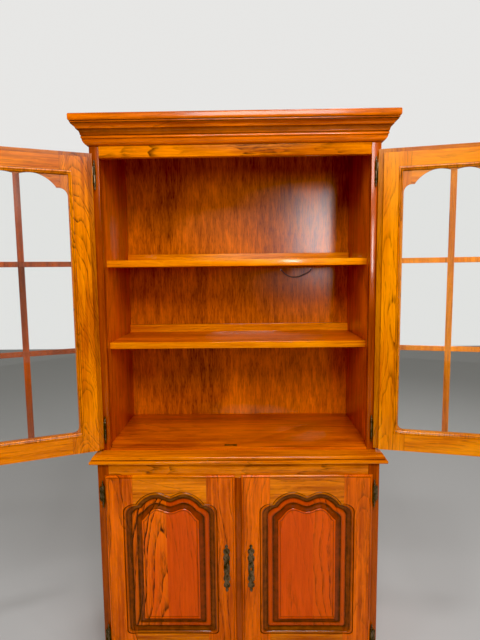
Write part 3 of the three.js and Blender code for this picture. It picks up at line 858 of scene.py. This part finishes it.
# rings are (outline, depth, glaze and painted shade); place turns (reach, depth, height) into the cabinet's
# frame
def loft(name, rings, place, closed=True):
    points, glaze = [], []
    for outline, depth, glaze_and_shade_level in rings:
        points += [place(reach, depth, height) for reach, height in outline]
        glaze += [glaze_and_shade_level] * len(outline)
    piece = newPiece(name, points, tubeFaces(len(rings[0][0]), len(rings), closed), glaze)
    closeUp(piece)
    return piece


# a piece of a door is drawn from its hinge axis towards its free edge
def doorPlace(kind, name, spin):
    axis = Vector(joints[f"{kind}_door_{name}_hinge"]["pos_m"]) * 1000
    hand = hands[name]

    def place(reach, depth, height):
        x = hand * reach
        return (axis.x + x * math.cos(spin) - depth * math.sin(spin),
                axis.y + x * math.sin(spin) + depth * math.cos(spin), height)
    return place


# the small round moulding on the outer edge of a door: (inset, depth, glaze and painted shade in its quirk)
lipEdge = [
    (0, 4.6, 0.5), (0, 3.2, 0), (0.4, 1.2, 0), (1.7, -0.9, 0), (3.9, -2.2, 0), (6.6, -2.7, 0.1),
    (7.8, -2.5, 0.8), (8.3, -2.6, 1), (8.6, -3.8, 0.4), (9.2, -4.4, 0), (10.2, -4.5, 0), (12.0, -4.5, 0),
]


def insetSquare(door, rect, inset):
    left, right, bottom, top = rect
    return squareOutline(door, left + inset, right - inset, bottom + inset, top - inset)


# from the back of a door, round its rebated edge, to its front face
def edgeRings(door, glaze_and_shade_level):
    plug, lip = (squareOutline(door, *door[key]) for key in ("plug", "lip"))
    # the step of the rebate gets the given glaze and painted shade
    rings = [(plug, door["back"], 0), (plug, door["seat"], glaze_and_shade_level), (lip, door["seat"], glaze_and_shade_level)]
    return rings + [(insetSquare(door, door["lip"], inset), depth, glaze) for inset, depth, glaze in lipEdge]


# the rebate behind an opening, for its panel or glass
def rebateRings(door, glaze_and_shade_level):
    rebate = squareOutline(door, *door["rebate"])
    # the seat in the rebate gets the given glaze and painted shade
    return [(rebate, door["seat"], glaze_and_shade_level), (rebate, door["back"], 0)]


# Panel doors

panelDoor = {
    "centre": 238, "halfWidth": 169, "sill": 177, "springing": 644, "foot": (12, 6, 35),
    "arch": {"cusp": 61, "peakReach": 48, "peak": 77, "shoulderReach": 123, "shoulder": 32},
    "field": {"halfWidth": 101, "bottom": 237, "shoulder": 614, "peakReach": 50, "peak": 657, "dip": 644},
    "lip": (6.7, 471, 92, 781), "plug": (23.5, 458, 107, 766), "rebate": (59, 417, 167, 733),
    "board": (60, 416, 168, 732), "boardBack": 13.3, "boardFront": 5.3, "back": 15, "seat": 5,
    "joints": (107, 369), "span": 68,
    # distance in from the opening, depth, glaze and painted shade in the coves
    "sticking": [
        (0, -4.5, 0), (0.4, -3.6, 0.4), (1.0, -2.2, 1), (2.4, -1.9, 1), (3.6, -3.0, 0.5), (5.2, -3.9, 0.3),
        (7.2, -4.2, 0.28), (9.2, -3.7, 0.45), (11.0, -2.3, 0.7), (12.4, -0.9, 0.8), (13.6, -0.5, 1),
        (15.0, -0.1, 0.85), (17.5, 1.0, 0.8), (20.0, 2.2, 0.8), (22.5, 3.2, 0.85), (25.0, 3.9, 0.9),
        (27.6, 4.3, 1), (27.6, 5, 1),
    ],
    # the same columns: the coves and groove of the raising get glaze and painted shade
    "raising": [
        (28.2, 5.3, 1), (28.2, 4.9, 1), (29.6, 4.5, 0.9), (31.5, 3.9, 0.5), (34, 3.2, 0.32), (38, 2.5, 0.22),
        (42.5, 1.9, 0.32),
        (45.0, 2.0, 0.5), (46.6, 3.0, 0.85), (48.6, 4.0, 1), (51, 4.2, 0.95), (54, 3.5, 0.85), (57, 2.2, 0.8),
        (60, 0.6, 0.8), (62.8, -0.8, 0.75), (65.0, -1.5, 0.85), (66.4, -1.7, 0.95), (67.2, -2.4, 0.4),
        (68.2, -3.4, 0), (69.6, -3.8, 0), (71.0, -3.5, 0), (72.2, -2.7, 0.2), (73.2, -2.2, 0.75),
        (74.6, -2.1, 0.45), (77.0, -2.3, 0.08), (81.0, -2.6, 0), (85.0, -2.7, 0), (87.0, -2.7, 0),
    ],
    # where two boards of a panel are glued, from the middle of the panel, and the redness of each board
    "glueLine": {"left": -14, "right": 22}, "redness": {"left": (0.0, 1.0), "right": (1.0, 0.75)},
    # where the two boards are in the oak
    "glueBoard": 7.3, "glueBoardStep": 2.6,
}


# two boards side by side in one panel, each with its own figure and tone
def glueBoards(piece, line, redness):
    scoreAcross(piece, [line - 0.1, line + 0.1])
    tone = piece.data.attributes.new("tone", "FLOAT", "POINT").data
    board = piece.data.attributes.new("board", "FLOAT", "POINT").data
    first = panelDoor["glueBoard"] + line / 100
    for vertex in piece.data.vertices:
        rightHand = vertex.co.x > line / 1000
        tone[vertex.index].value = redness[rightHand]
        board[vertex.index].value = first + (panelDoor["glueBoardStep"] if rightHand else 0.0)


jointLine = {"width": 0.5, "glaze": 0.85}


# a fine dark line where a stile and a rail meet, at each point that a test finds on the joint
def darkenJoint(piece, onJoint):
    glaze = piece.data.attributes["glaze"].data
    for vertex in piece.data.vertices:
        if onJoint(vertex.co):
            glaze[vertex.index].value = max(glaze[vertex.index].value, jointLine["glaze"])


# the rails of a one-piece frame get their own grain
def jointFrame(piece, lines):
    width = jointLine["width"]
    scoreAcross(piece, [line + shift for line in lines for shift in (-width, 0, width)])
    darkenJoint(piece, lambda point: min(abs(point.x - line / 1000) for line in lines) < 0.00005)
    low, high = sorted(line / 1000 for line in lines)
    for face in piece.data.polygons:
        face.material_index = 1 if low < face.center.x < high else 0


def makePanelDoor(name):
    label, body, centre = name.capitalize(), "panel_door_" + name, panelDoor["centre"]
    place = doorPlace("panel", name, 0.0)
    opening, field = archedOutline(panelDoor), fieldOutline(panelDoor)

    # the profile turns little by little from the opening's outline into the field's
    def profile(key):
        return [(moved(between(opening, field, distance / panelDoor["span"]), centre), depth, glaze_and_shade_level)
                for distance, depth, glaze_and_shade_level in panelDoor[key]]
    rings = edgeRings(panelDoor, 0.5)
    rings += [(moved(archedOutline(panelDoor, grow), centre), lipEdge[-1][1], 0) for grow in (3, 0.8)]
    rings += profile("sticking") + rebateRings(panelDoor, 0)
    piece = loft("panelDoorFrame" + label, rings, place)
    jointFrame(piece, [place(reach, 0, 0)[0] for reach in panelDoor["joints"]])
    settle(piece, body, [oaks["panelStile" + label], oaks["panelRail" + label]], body + "_frame")

    board = squareOutline(panelDoor, *panelDoor["board"])
    rings = [(board, panelDoor["boardBack"], 0), (board, panelDoor["boardFront"], 0)] + profile("raising")
    piece = loft("panelDoorPanel" + label, rings, place, closed=False)
    line = place(centre + hands[name] * panelDoor["glueLine"][name], 0, 0)[0]
    glueBoards(piece, line, panelDoor["redness"][name])
    settle(piece, body, [oaks["panelField" + label]], body + "_panel")


for name in hands:
    makePanelDoor(name)
print("panel doors made")


# Glass doors

glassDoor = {
    "centre": 245, "halfWidth": 155.5, "sill": 937, "springing": 1753, "foot": (22, 0, 22),
    "arch": {"cusp": 67, "peakReach": 44, "peak": 75, "shoulderReach": 121, "shoulder": 29},
    "lip": (6.7, 481, 860, 1903), "plug": (24, 481, 860, 1888), "rebate": (72.5, 417.5, 920, 1840),
    "back": 15, "seat": 5, "railJoint": 112, "jointGap": 0.6,
    # distance out from the opening, depth, glaze and painted shade in the quirks
    "sticking": [
        (11.0, -4.5, 0), (9.2, -4.5, 0), (8.4, -4.2, 0.3), (8.0, -3.4, 1), (7.0, -3.2, 0.7), (6.2, -3.7, 0),
        (4.6, -3.7, 0), (3.0, -3.0, 0), (1.6, -1.6, 0), (0.5, 0.4, 0.1), (0, 2.6, 0.2), (0, 5, 0.6),
        (1.2, 5, 0.1),
    ],
    # inset from the rebate, depth, glaze and painted shade where the bead meets the glass
    "bead": [
        (0.3, 8.5, 1), (0.3, 13.6, 0.9), (0.8, 14.6, 0.3), (2.2, 15.2, 0), (4.4, 15.2, 0), (6.4, 14.7, 0.3),
        (7.4, 13.7, 0.8), (8.6, 13.6, 0.2), (10.4, 12.8, 0), (12.0, 11.2, 0), (12.9, 9.6, 0),
        (13.0, 8.5, 0.6),
    ],
}
bar = {
    "levels": (1228.5, 1528.5), "top": 1826, "foot": 933, "reach": 158.5, "crossScale": 0.9,
    # half width, depth, glaze and painted shade in the quirks
    "section": [
        (9.0, 4.7, 0.3), (10, 4.0, 0.2), (10, 1.9, 0), (9.3, 1.2, 0.8), (8.6, 0.9, 0.6), (8.0, -0.6, 0),
        (6.8, -1.8, 0), (5.2, -2.3, 0.2), (4.6, -2.4, 0.7), (4.2, -2.9, 0), (3.4, -3.0, 0),
    ],
}


def cutPiece(piece, point, normal, keepBoth=False):
    startEdit(piece)
    bpy.ops.mesh.bisect(plane_co=point, plane_no=normal, use_fill=not keepBoth, clear_outer=not keepBoth)
    endEdit()


# one upright and its cross bars, joined where they cross
def makeBars(label, place):
    centre, section = glassDoor["centre"], bar["section"]
    outline = section + [(-width, depth, glaze_and_shade_level) for width, depth, glaze_and_shade_level in reversed(section)]
    runs = [(True, centre, 1.0, bar["foot"], bar["top"])]
    runs += [(False, level, bar["crossScale"], centre - bar["reach"], centre + bar["reach"])
             for level in bar["levels"]]
    pieces = []
    for number, (upright, middle, scale, start, end) in enumerate(runs):
        points, glaze = [], []
        for stop in (start, end):
            for width, depth, glaze_and_shade_level in outline:
                offset = middle + width * scale
                points.append(place(offset, depth, stop) if upright else place(stop, depth, offset))
                glaze.append(glaze_and_shade_level)
        piece = newPiece(f"bar{label}{number}", points, tubeFaces(len(outline), 2, closed=False), glaze)
        closeUp(piece)
        pieces.append(piece)
    for other in pieces[1:]:
        applyModifier(pieces[0], "BOOLEAN", operation="UNION", object=other, solver="EXACT")
        bpy.data.objects.remove(other)
    return pieces[0]


def makeGlassDoor(name):
    label, body, centre = name.capitalize(), "glass_door_" + name, glassDoor["centre"]
    place = doorPlace("glass", name, doorSpin[name])
    rings = edgeRings(glassDoor, 0.4)
    rings += [(moved(archedOutline(glassDoor, distance), centre), depth, glaze_and_shade_level)
              for distance, depth, glaze_and_shade_level in glassDoor["sticking"]]
    whole = loft("glassDoorWhole" + label, rings + rebateRings(glassDoor, 0.1), place)

    joint, gap = glassDoor["railJoint"], glassDoor["jointGap"]
    farJoint = 2 * centre - joint
    middle = (glassDoor["sill"] + glassDoor["rebate"][3]) / 2
    outward = Vector(place(1, 0, 0)) - Vector(place(0, 0, 0))

    def at(reach, height=0):
        return [value / 1000 for value in place(reach, 0, height)]
    for line in (joint - gap, joint + gap, farJoint - gap, farJoint + gap):
        cutPiece(whole, at(line), outward, keepBoth=True)
    rail = [(at(joint), -outward), (at(farJoint), outward)]
    cuts = {
        "hinge_stile": [(at(joint), outward)],
        "lock_stile": [(at(farJoint), -outward)],
        "bottom_rail": rail + [(at(0, middle), Vector((0, 0, 1)))],
        "top_rail": rail + [(at(0, middle), Vector((0, 0, -1)))],
    }

    def onJoint(point):
        along = (point - Vector(at(0))).dot(outward.normalized()) * 1000
        return min(abs(along - joint), abs(along - farJoint)) < 0.05
    for part, planes in cuts.items():
        piece = copyPiece(whole, camelName(f"{body}_{part}"))
        for point, normal in planes:
            cutPiece(piece, point, normal)
        closeUp(piece)
        darkenJoint(piece, onJoint)
        kind = "glassStile" if "stile" in part else "glassRail"
        settle(piece, body, [oaks[kind + label]], f"{body}_{part}")
    bpy.data.objects.remove(whole)

    grille = makeBars(label, place)
    closeUp(grille)
    grille.name = grille.data.name = "glassDoorGrille" + label
    settle(grille, body, [oaks["bars" + label]], body + "_grille")

    rings = [(insetSquare(glassDoor, glassDoor["rebate"], inset), depth, glaze_and_shade_level)
             for inset, depth, glaze_and_shade_level in glassDoor["bead"]]
    settle(loft("glassDoorBead" + label, rings, place), body, [oaks["glassStile" + label]])

    pane = frame["nodes"][body + "_glass"]
    coverNode(pane, finishes["glass"])
    pane.visible_shadow = False     # clear glass lets the lamps light the bars behind it


for name in hands:
    makeGlassDoor(name)
print("glass doors made")


# Hinges

hinge = {
    "steps": 28, "proud": 5.5, "start": 6.7, "screwReach": -9.5,
    # radius and height of one finial, and of what the two barrels turn on
    "finial": [
        (4.4, 26.0), (4.75, 26.6), (4.8, 27.6), (4.75, 28.6), (3.3, 29.5), (2.6, 31.0), (3.2, 32.4),
        (4.1, 34.0), (4.3, 36.0), (3.7, 38.2), (2.5, 40.2), (1.9, 41.8), (2.4, 43.0), (2.8, 44.8),
        (2.7, 46.6), (1.9, 48.6), (1.1, 50.4), (0, 52.0),
    ],
    "pin": [(4.4, -1.3), (4.1, -0.5), (3.7, -0.2), (2.0, -0.2), (2.0, 12.4), (1.5, 13.0), (0, 13.0)],
    "bore": [(0, 14), (2.4, 14), (2.4, 0.2), (3.7, 0.2), (4.1, 0.5), (4.4, 1.3)],
    "leaf": [(-5, -21), (-6.4, -25), (-8.2, -26.5), (-9.5, -31), (-10.8, -26.5), (-12.6, -25), (-14, -21)],
    "screws": (-19, 0, 19),
}
# radius and height of the shank and the domed head, as shares of the radius and in mm
screw = {"shank": -0.3, "head": [(1, 0), (0.96, 0.35), (0.7, 0.65), (0.35, 0.8), (0, 0.84)],
         "slotHalf": 0.28, "slotFloor": 0.3, "slotTop": 1.5, "slotReach": 1.3}


# a profile of (radius, height) spun round Z
def spunPiece(name, profile):
    mesh = bpy.data.meshes.new(name)
    mesh.from_pydata([(radius / 1000, 0, height / 1000) for radius, height in profile],
                     [(index, index + 1) for index in range(len(profile) - 1)], [])
    mesh.attributes.new("glaze", "FLOAT", "POINT")
    piece = linkNew(name, mesh)
    startEdit(piece)
    bpy.ops.mesh.spin(steps=hinge["steps"], angle=2 * math.pi, center=(0, 0, 0), axis=(0, 0, 1))
    endEdit()
    closeUp(piece)
    return piece


def block(name, x, y, z, ease=0.0):
    clearSelection()
    bpy.ops.mesh.primitive_cube_add(size=0.001, location=[sum(pair) / 2000 for pair in (x, y, z)],
                                    scale=[abs(pair[1] - pair[0]) for pair in (x, y, z)])
    piece = bpy.context.object
    piece.name = piece.data.name = name
    bpy.ops.object.transform_apply(location=True, rotation=True, scale=True)
    if ease:
        applyModifier(piece, "BEVEL", width=ease / 1000, segments=2)
    return piece


# a flat shape drawn in X and Z, made as thick as the stretch between two depths, with a soft front edge
def plate(name, outline, front, back, ease):
    points = [(x, depth, z) for depth in (back, front) for x, z in outline]
    piece = newPiece(name, points, tubeFaces(len(outline), 2, closed=False))
    closeUp(piece)
    startEdit(piece)
    mesh = bmesh.from_edit_mesh(piece.data)
    bpy.ops.mesh.select_all(action="DESELECT")
    bpy.context.tool_settings.mesh_select_mode = (False, True, False)
    for edge in mesh.edges:
        edge.select_set(all(abs(vertex.co.y - front / 1000) < 1e-6 for vertex in edge.verts))
    bmesh.update_edit_mesh(piece.data)
    bpy.ops.mesh.bevel(offset=ease / 1000, segments=2)
    endEdit()
    bpy.context.tool_settings.mesh_select_mode = (True, False, False)
    return piece


# a slotted screw head facing the front
def screwHead(name, x, front, z, radius=2.3, turn=0.4):
    profile = [(0, screw["shank"]), (radius, screw["shank"])]
    profile += [(radius * share, height) for share, height in screw["head"]]
    head = spunPiece(name, profile)
    reach, half = radius * screw["slotReach"], screw["slotHalf"]
    slot = block(name + "Slot", (-reach, reach), (-half, half), (screw["slotFloor"], screw["slotTop"]))
    cutAway(head, slot)
    head.data.transform(Matrix.Translation((x / 1000, front / 1000, z / 1000))
                        @ Matrix.Rotation(math.radians(90), 4, "X") @ Matrix.Rotation(turn, 4, "Z"))
    return head


def mirrorX(piece):
    piece.data.transform(Matrix.Diagonal((-1, 1, 1, 1)))
    closeUp(piece)


def makeHingeHalves():
    finial, front = hinge["finial"], hinge["proud"] - 0.1
    leafFront = hinge["proud"] - 1.7
    barrel = spunPiece("barrel", [(radius, -height) for radius, height in reversed(finial)] + hinge["pin"])
    outline = hinge["leaf"] + [(x, -z) for x, z in reversed(hinge["leaf"])]
    leaf = plate("leaf", outline, leafFront, front, 0.5)
    web = block("web", (-6.5, -0.5), (3.3, front), (-25.6, -0.5), 0.3)
    screws = [screwHead(f"screw{index}", hinge["screwReach"], leafFront, z, turn=0.5 + index)
              for index, z in enumerate(hinge["screws"])]
    fixed = joinPieces([barrel, leaf, web] + screws, "hingeFixed")
    barrel = spunPiece("barrel", hinge["bore"] + finial)
    leaf = block("leaf", (5.1, hinge["start"] - 0.3), (-3.4, 3.4), (-31, 31), 0.4)
    web = block("web", (3.2, 5.6), (-1.6, 1.6), (0.5, 25.6), 0.3)
    moving = joinPieces([barrel, leaf, web], "hingeMoving")
    return fixed, moving


def placeHinge(kind, name, level, half, master):
    axis = Vector(joints[f"{kind}_door_{name}_hinge"]["pos_m"])
    node = f"{kind}_hinge_{name}_{level}_{half}"
    low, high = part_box(node)
    tip = hinge["finial"][-1][1] / 1000
    height = low.z + tip if half == "fixed" else high.z - tip
    piece = copyPiece(master, f"{kind}Hinge{name.capitalize()}{level.capitalize()}{half.capitalize()}")
    if hands[name] < 0:
        mirrorX(piece)
    spin = doorSpin[name] if kind == "glass" and half == "moving" else 0.0
    piece.data.transform(Matrix.Translation((axis.x, axis.y, height)) @ Matrix.Rotation(spin, 4, "Z"))
    body = f"{kind}_door_{name}" if half == "moving" else "carcass"
    settle(piece, body, [finishes["brass"]], node)


def placeHinges():
    masters = dict(zip(("fixed", "moving"), makeHingeHalves()))
    for kind in ("glass", "panel"):
        for name in hands:
            for level in ("lower", "upper"):
                for half, master in masters.items():
                    placeHinge(kind, name, level, half, master)
    for master in masters.values():
        bpy.data.objects.remove(master)


placeHinges()
print("hinges placed")


# Escutcheons and strike

keyPlate = {
    "thickness": 2.2, "breadth": 1.18, "doorFront": -4.6,
    # the right upper quarter of the plate
    "outline": [
        (0, 92), (1.6, 89.5), (4.4, 86), (5.2, 82.5), (3.8, 79), (3.2, 76.5), (5.2, 74.5), (8.4, 72.2),
        (10.0, 68.5), (10.3, 63.5), (9.4, 58.5), (6.9, 54.2), (6.4, 51.5), (8.6, 47.5), (10.6, 43),
        (11.0, 39), (10.2, 34), (8.4, 28), (7.9, 23), (8.5, 16), (9.3, 8), (9.5, 0),
    ],
    "raisedBreadth": 0.70, "raisedHeight": 0.955, "pins": (63, -63),
    "boss": [(0, -0.4), (6.2, -0.4), (6.2, 0.2), (5.6, 0.5), (4.6, 0.5), (4.2, 0.1), (0, 0.1)],
    "eyeRadius": 2.6, "slotHalf": 1.5, "slotFoot": -8.5, "cutDepth": 4,
    "glass": {"reach": 440, "height": 1320}, "panel": {"reach": 438, "height": 434},
}


def makeKeyPlate(name, keyhole):
    quarter = [(x * keyPlate["breadth"], z) for x, z in keyPlate["outline"]]
    right = quarter + [(x, -z) for x, z in reversed(quarter[:-1])]
    outline = right + [(-x, z) for x, z in reversed(right[1:-1])]
    inner = [(x * keyPlate["raisedBreadth"], z * keyPlate["raisedHeight"]) for x, z in outline]
    thickness, facing = keyPlate["thickness"], Matrix.Rotation(math.radians(90), 4, "X")
    parts = [plate(name, outline, -thickness + 0.6, 0, 0.5),
             plate(name + "Raised", inner, -thickness, -0.4, 0.6)]
    for z in keyPlate["pins"]:
        parts.append(screwHead(name + "Pin", 0, -thickness, z, radius=1.7, turn=1.1))
    boss = spunPiece(name + "Boss", keyPlate["boss"])
    boss.data.transform(Matrix.Translation((0, -thickness / 1000, 0)) @ facing)
    whole = joinPieces(parts + [boss], name)
    if keyhole:
        depth, radius, half = keyPlate["cutDepth"], keyPlate["eyeRadius"], keyPlate["slotHalf"]
        eye = spunPiece("keyEye", [(0, -depth), (radius, -depth), (radius, depth), (0, depth)])
        eye.data.transform(facing)
        slot = block("keySlot", (-half, half), (-depth, depth), (keyPlate["slotFoot"], 0))
        for cutter in (eye, slot):
            cutAway(whole, cutter)
    return whole


def placeKeyPlates():
    masters = {"left": makeKeyPlate("blindPlate", False), "right": makeKeyPlate("keyPlate", True)}
    for kind in ("glass", "panel"):
        for name, hand in hands.items():
            spot = keyPlate[kind]
            spin = doorSpin[name] if kind == "glass" else 0.0
            piece = copyPiece(masters[name], f"{kind}Door{name.capitalize()}Escutcheon")
            axis = Vector(joints[f"{kind}_door_{name}_hinge"]["pos_m"])
            inDoor = Matrix.Translation((hand * spot["reach"] / 1000, keyPlate["doorFront"] / 1000, 0))
            hung = Matrix.Translation((axis.x, axis.y, spot["height"] / 1000)) @ Matrix.Rotation(spin, 4, "Z")
            piece.data.transform(hung @ inDoor)
            body = f"{kind}_door_{name}"
            settle(piece, body, [finishes["brass"]], body + "_escutcheon")
    for master in masters.values():
        bpy.data.objects.remove(master)


placeKeyPlates()

strike = {"ease": 0.3, "screwReach": 16, "screwRadius": 2.6, "screwTurn": 0.8, "screwSunk": 0.4}


def makeStrike():
    low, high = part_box("bolt_strike")
    piece = copyPiece(frame["nodes"]["bolt_strike"], "boltStrike")
    piece.data.attributes.new("glaze", "FLOAT", "POINT")
    closeUp(piece)
    startEdit(piece)
    bpy.ops.mesh.dissolve_limited(angle_limit=flatAngle)
    endEdit()
    applyModifier(piece, "BEVEL", width=strike["ease"] / 1000, segments=2, limit_method="ANGLE",
                  angle_limit=edgeAngle)
    middle = (low + high) / 2
    parts = [piece]
    for side in (-1, 1):
        head = screwHead(f"strikeScrew{side}", 0, 0, 0, strike["screwRadius"], strike["screwTurn"])
        spot = (middle.x + side * strike["screwReach"] / 1000, middle.y, high.z - strike["screwSunk"] / 1000)
        head.data.transform(Matrix.Translation(spot) @ Matrix.Rotation(math.radians(-90), 4, "X"))
        parts.append(head)
    piece = joinPieces(parts, "boltStrike")
    settle(piece, "carcass", [finishes["brass"]], "bolt_strike")


makeStrike()
print("brass fittings placed")

lightFlex.data.materials.append(finishes["sheath"])
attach(lightFlex, "carcass")
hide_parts("light_flex")


def flexLength():
    route = [Vector(place) / 1000 for place in flex["route"]]
    return sum((end - start).length for start, end in zip(route, route[1:]))


[value / 1000 for value in flex["route"][0]]
flexLength()


# Floor and light

room = {
    "floorSize": 14, "floorTone": (0.60, 0.59, 0.58), "floorRough": 0.75, "airTone": (1.0, 0.995, 0.98),
    "seenStrength": 0.80, "lowStrength": 0.08, "highStrength": 0.32, "horizon": 0.1,
    "blackLevel": (0.004, 0.005, 0.012),
}
lamps = {
    "key": {"place": (0.2, -3.0, 3.1), "aim": (0, -0.4, 1.2), "size": (1.4, 1.0),
            "power": 66, "spread": 180, "sheen": True},
    "top": {"place": (0.7, -2.0, 4.2), "aim": (0, -0.45, 1.1), "size": (0.9, 0.25),
            "power": 28, "spread": 180, "sheen": True},
    "left": {"place": (-2.4, -3.0, 2.0), "aim": (0, -0.3, 1.1), "size": (0.6, 1.2),
             "power": 11, "spread": 180, "sheen": False},
    "right": {"place": (2.7, -2.6, 1.9), "aim": (0, -0.4, 1.1), "size": (0.2, 1.6),
              "power": 10, "spread": 180, "sheen": True},
    "window": {"place": (0.9, -3.6, 1.95), "aim": (0.15, 0, 1.85), "size": (0.3, 0.8),
               "power": 1.5, "spread": 42, "sheen": True},
    "back": {"place": (1.6, 2.6, 3.2), "aim": (0, 0, 1.2), "size": (1.6, 1.2),
             "power": 25, "spread": 180, "sheen": True},
}


def makeFloor():
    clearSelection()
    bpy.ops.mesh.primitive_plane_add(size=room["floorSize"], location=(0, 0, 0))
    floor = bpy.context.object
    floor.name = "floor"
    material, tree, shader = startMaterial("paleFloor")
    shader.inputs["Base Color"].default_value = (*room["floorTone"], 1)
    shader.inputs["Roughness"].default_value = room["floorRough"]
    floor.data.materials.append(material)


# the air lights more from above than from the sides, and looks pale past the cabinet and through its panes
def makeAir():
    world = bpy.data.worlds.new("air")
    world.use_nodes = True
    tree = world.node_tree
    backdrop = tree.nodes["Background"]
    backdrop.inputs["Color"].default_value = (*room["airTone"], 1)
    direction = addNode(tree, "ShaderNodeSeparateXYZ")
    tree.links.new(addNode(tree, "ShaderNodeTexCoord").outputs["Generated"], direction.inputs[0])
    lit = remap(tree, direction.outputs[2], room["horizon"], 1.0, room["lowStrength"], room["highStrength"])
    path = addNode(tree, "ShaderNodeLightPath")
    seen = calc(tree, "MAXIMUM", path.outputs["Is Camera Ray"], path.outputs["Is Transmission Ray"])
    strength = addNode(tree, "ShaderNodeMix", data_type="FLOAT")
    feed(tree, strength.inputs[0], seen)
    feed(tree, strength.inputs[2], lit)
    feed(tree, strength.inputs[3], room["seenStrength"])
    tree.links.new(strength.outputs[0], backdrop.inputs["Strength"])
    bpy.context.scene.world = world


def lightGroup(name, pieces, state="INCLUDE"):
    group = bpy.data.collections.new(name)
    for piece in pieces:
        group.objects.link(piece)
    for entry in group.collection_objects:
        entry.light_linking.link_state = state
    return group


# no white lamp shapes in the glass, and the window's sheen only on a few pieces in and round the hutch
def makeLamps():
    panes = lightGroup("panes", [frame["nodes"][f"glass_door_{name}_glass"] for name in hands], "EXCLUDE")
    openHutch = lightGroup("openHutch", [frame["nodes"]["hutch_back"]] + [
        bpy.data.objects[name] for name in ("hutchShelfUpper", "hutchStileRight", "crownMoulding")])
    for name, lamp in lamps.items():
        data = bpy.data.lights.new(name, "AREA")
        data.shape = "RECTANGLE"
        data.size, data.size_y = lamp["size"]
        data.energy = lamp["power"]
        data.spread = math.radians(lamp["spread"])
        holder = linkNew(name, data)
        holder.visible_glossy = lamp["sheen"]
        holder.visible_transmission = False
        holder.light_linking.receiver_collection = openHutch if name == "window" else panes
        direction = Vector(lamp["aim"]) - Vector(lamp["place"])
        turn = direction.to_track_quat("-Z", "Y").to_matrix().to_4x4()
        holder.matrix_world = Matrix.Translation(lamp["place"]) @ turn


def setView():
    view = bpy.context.scene.view_settings
    view.view_transform = "Standard"
    view.use_curve_mapping = True
    view.curve_mapping.black_level = room["blackLevel"]


makeFloor()
makeAir()
makeLamps()
setView()
print("room lit")

print("pieces made:", boardCount)
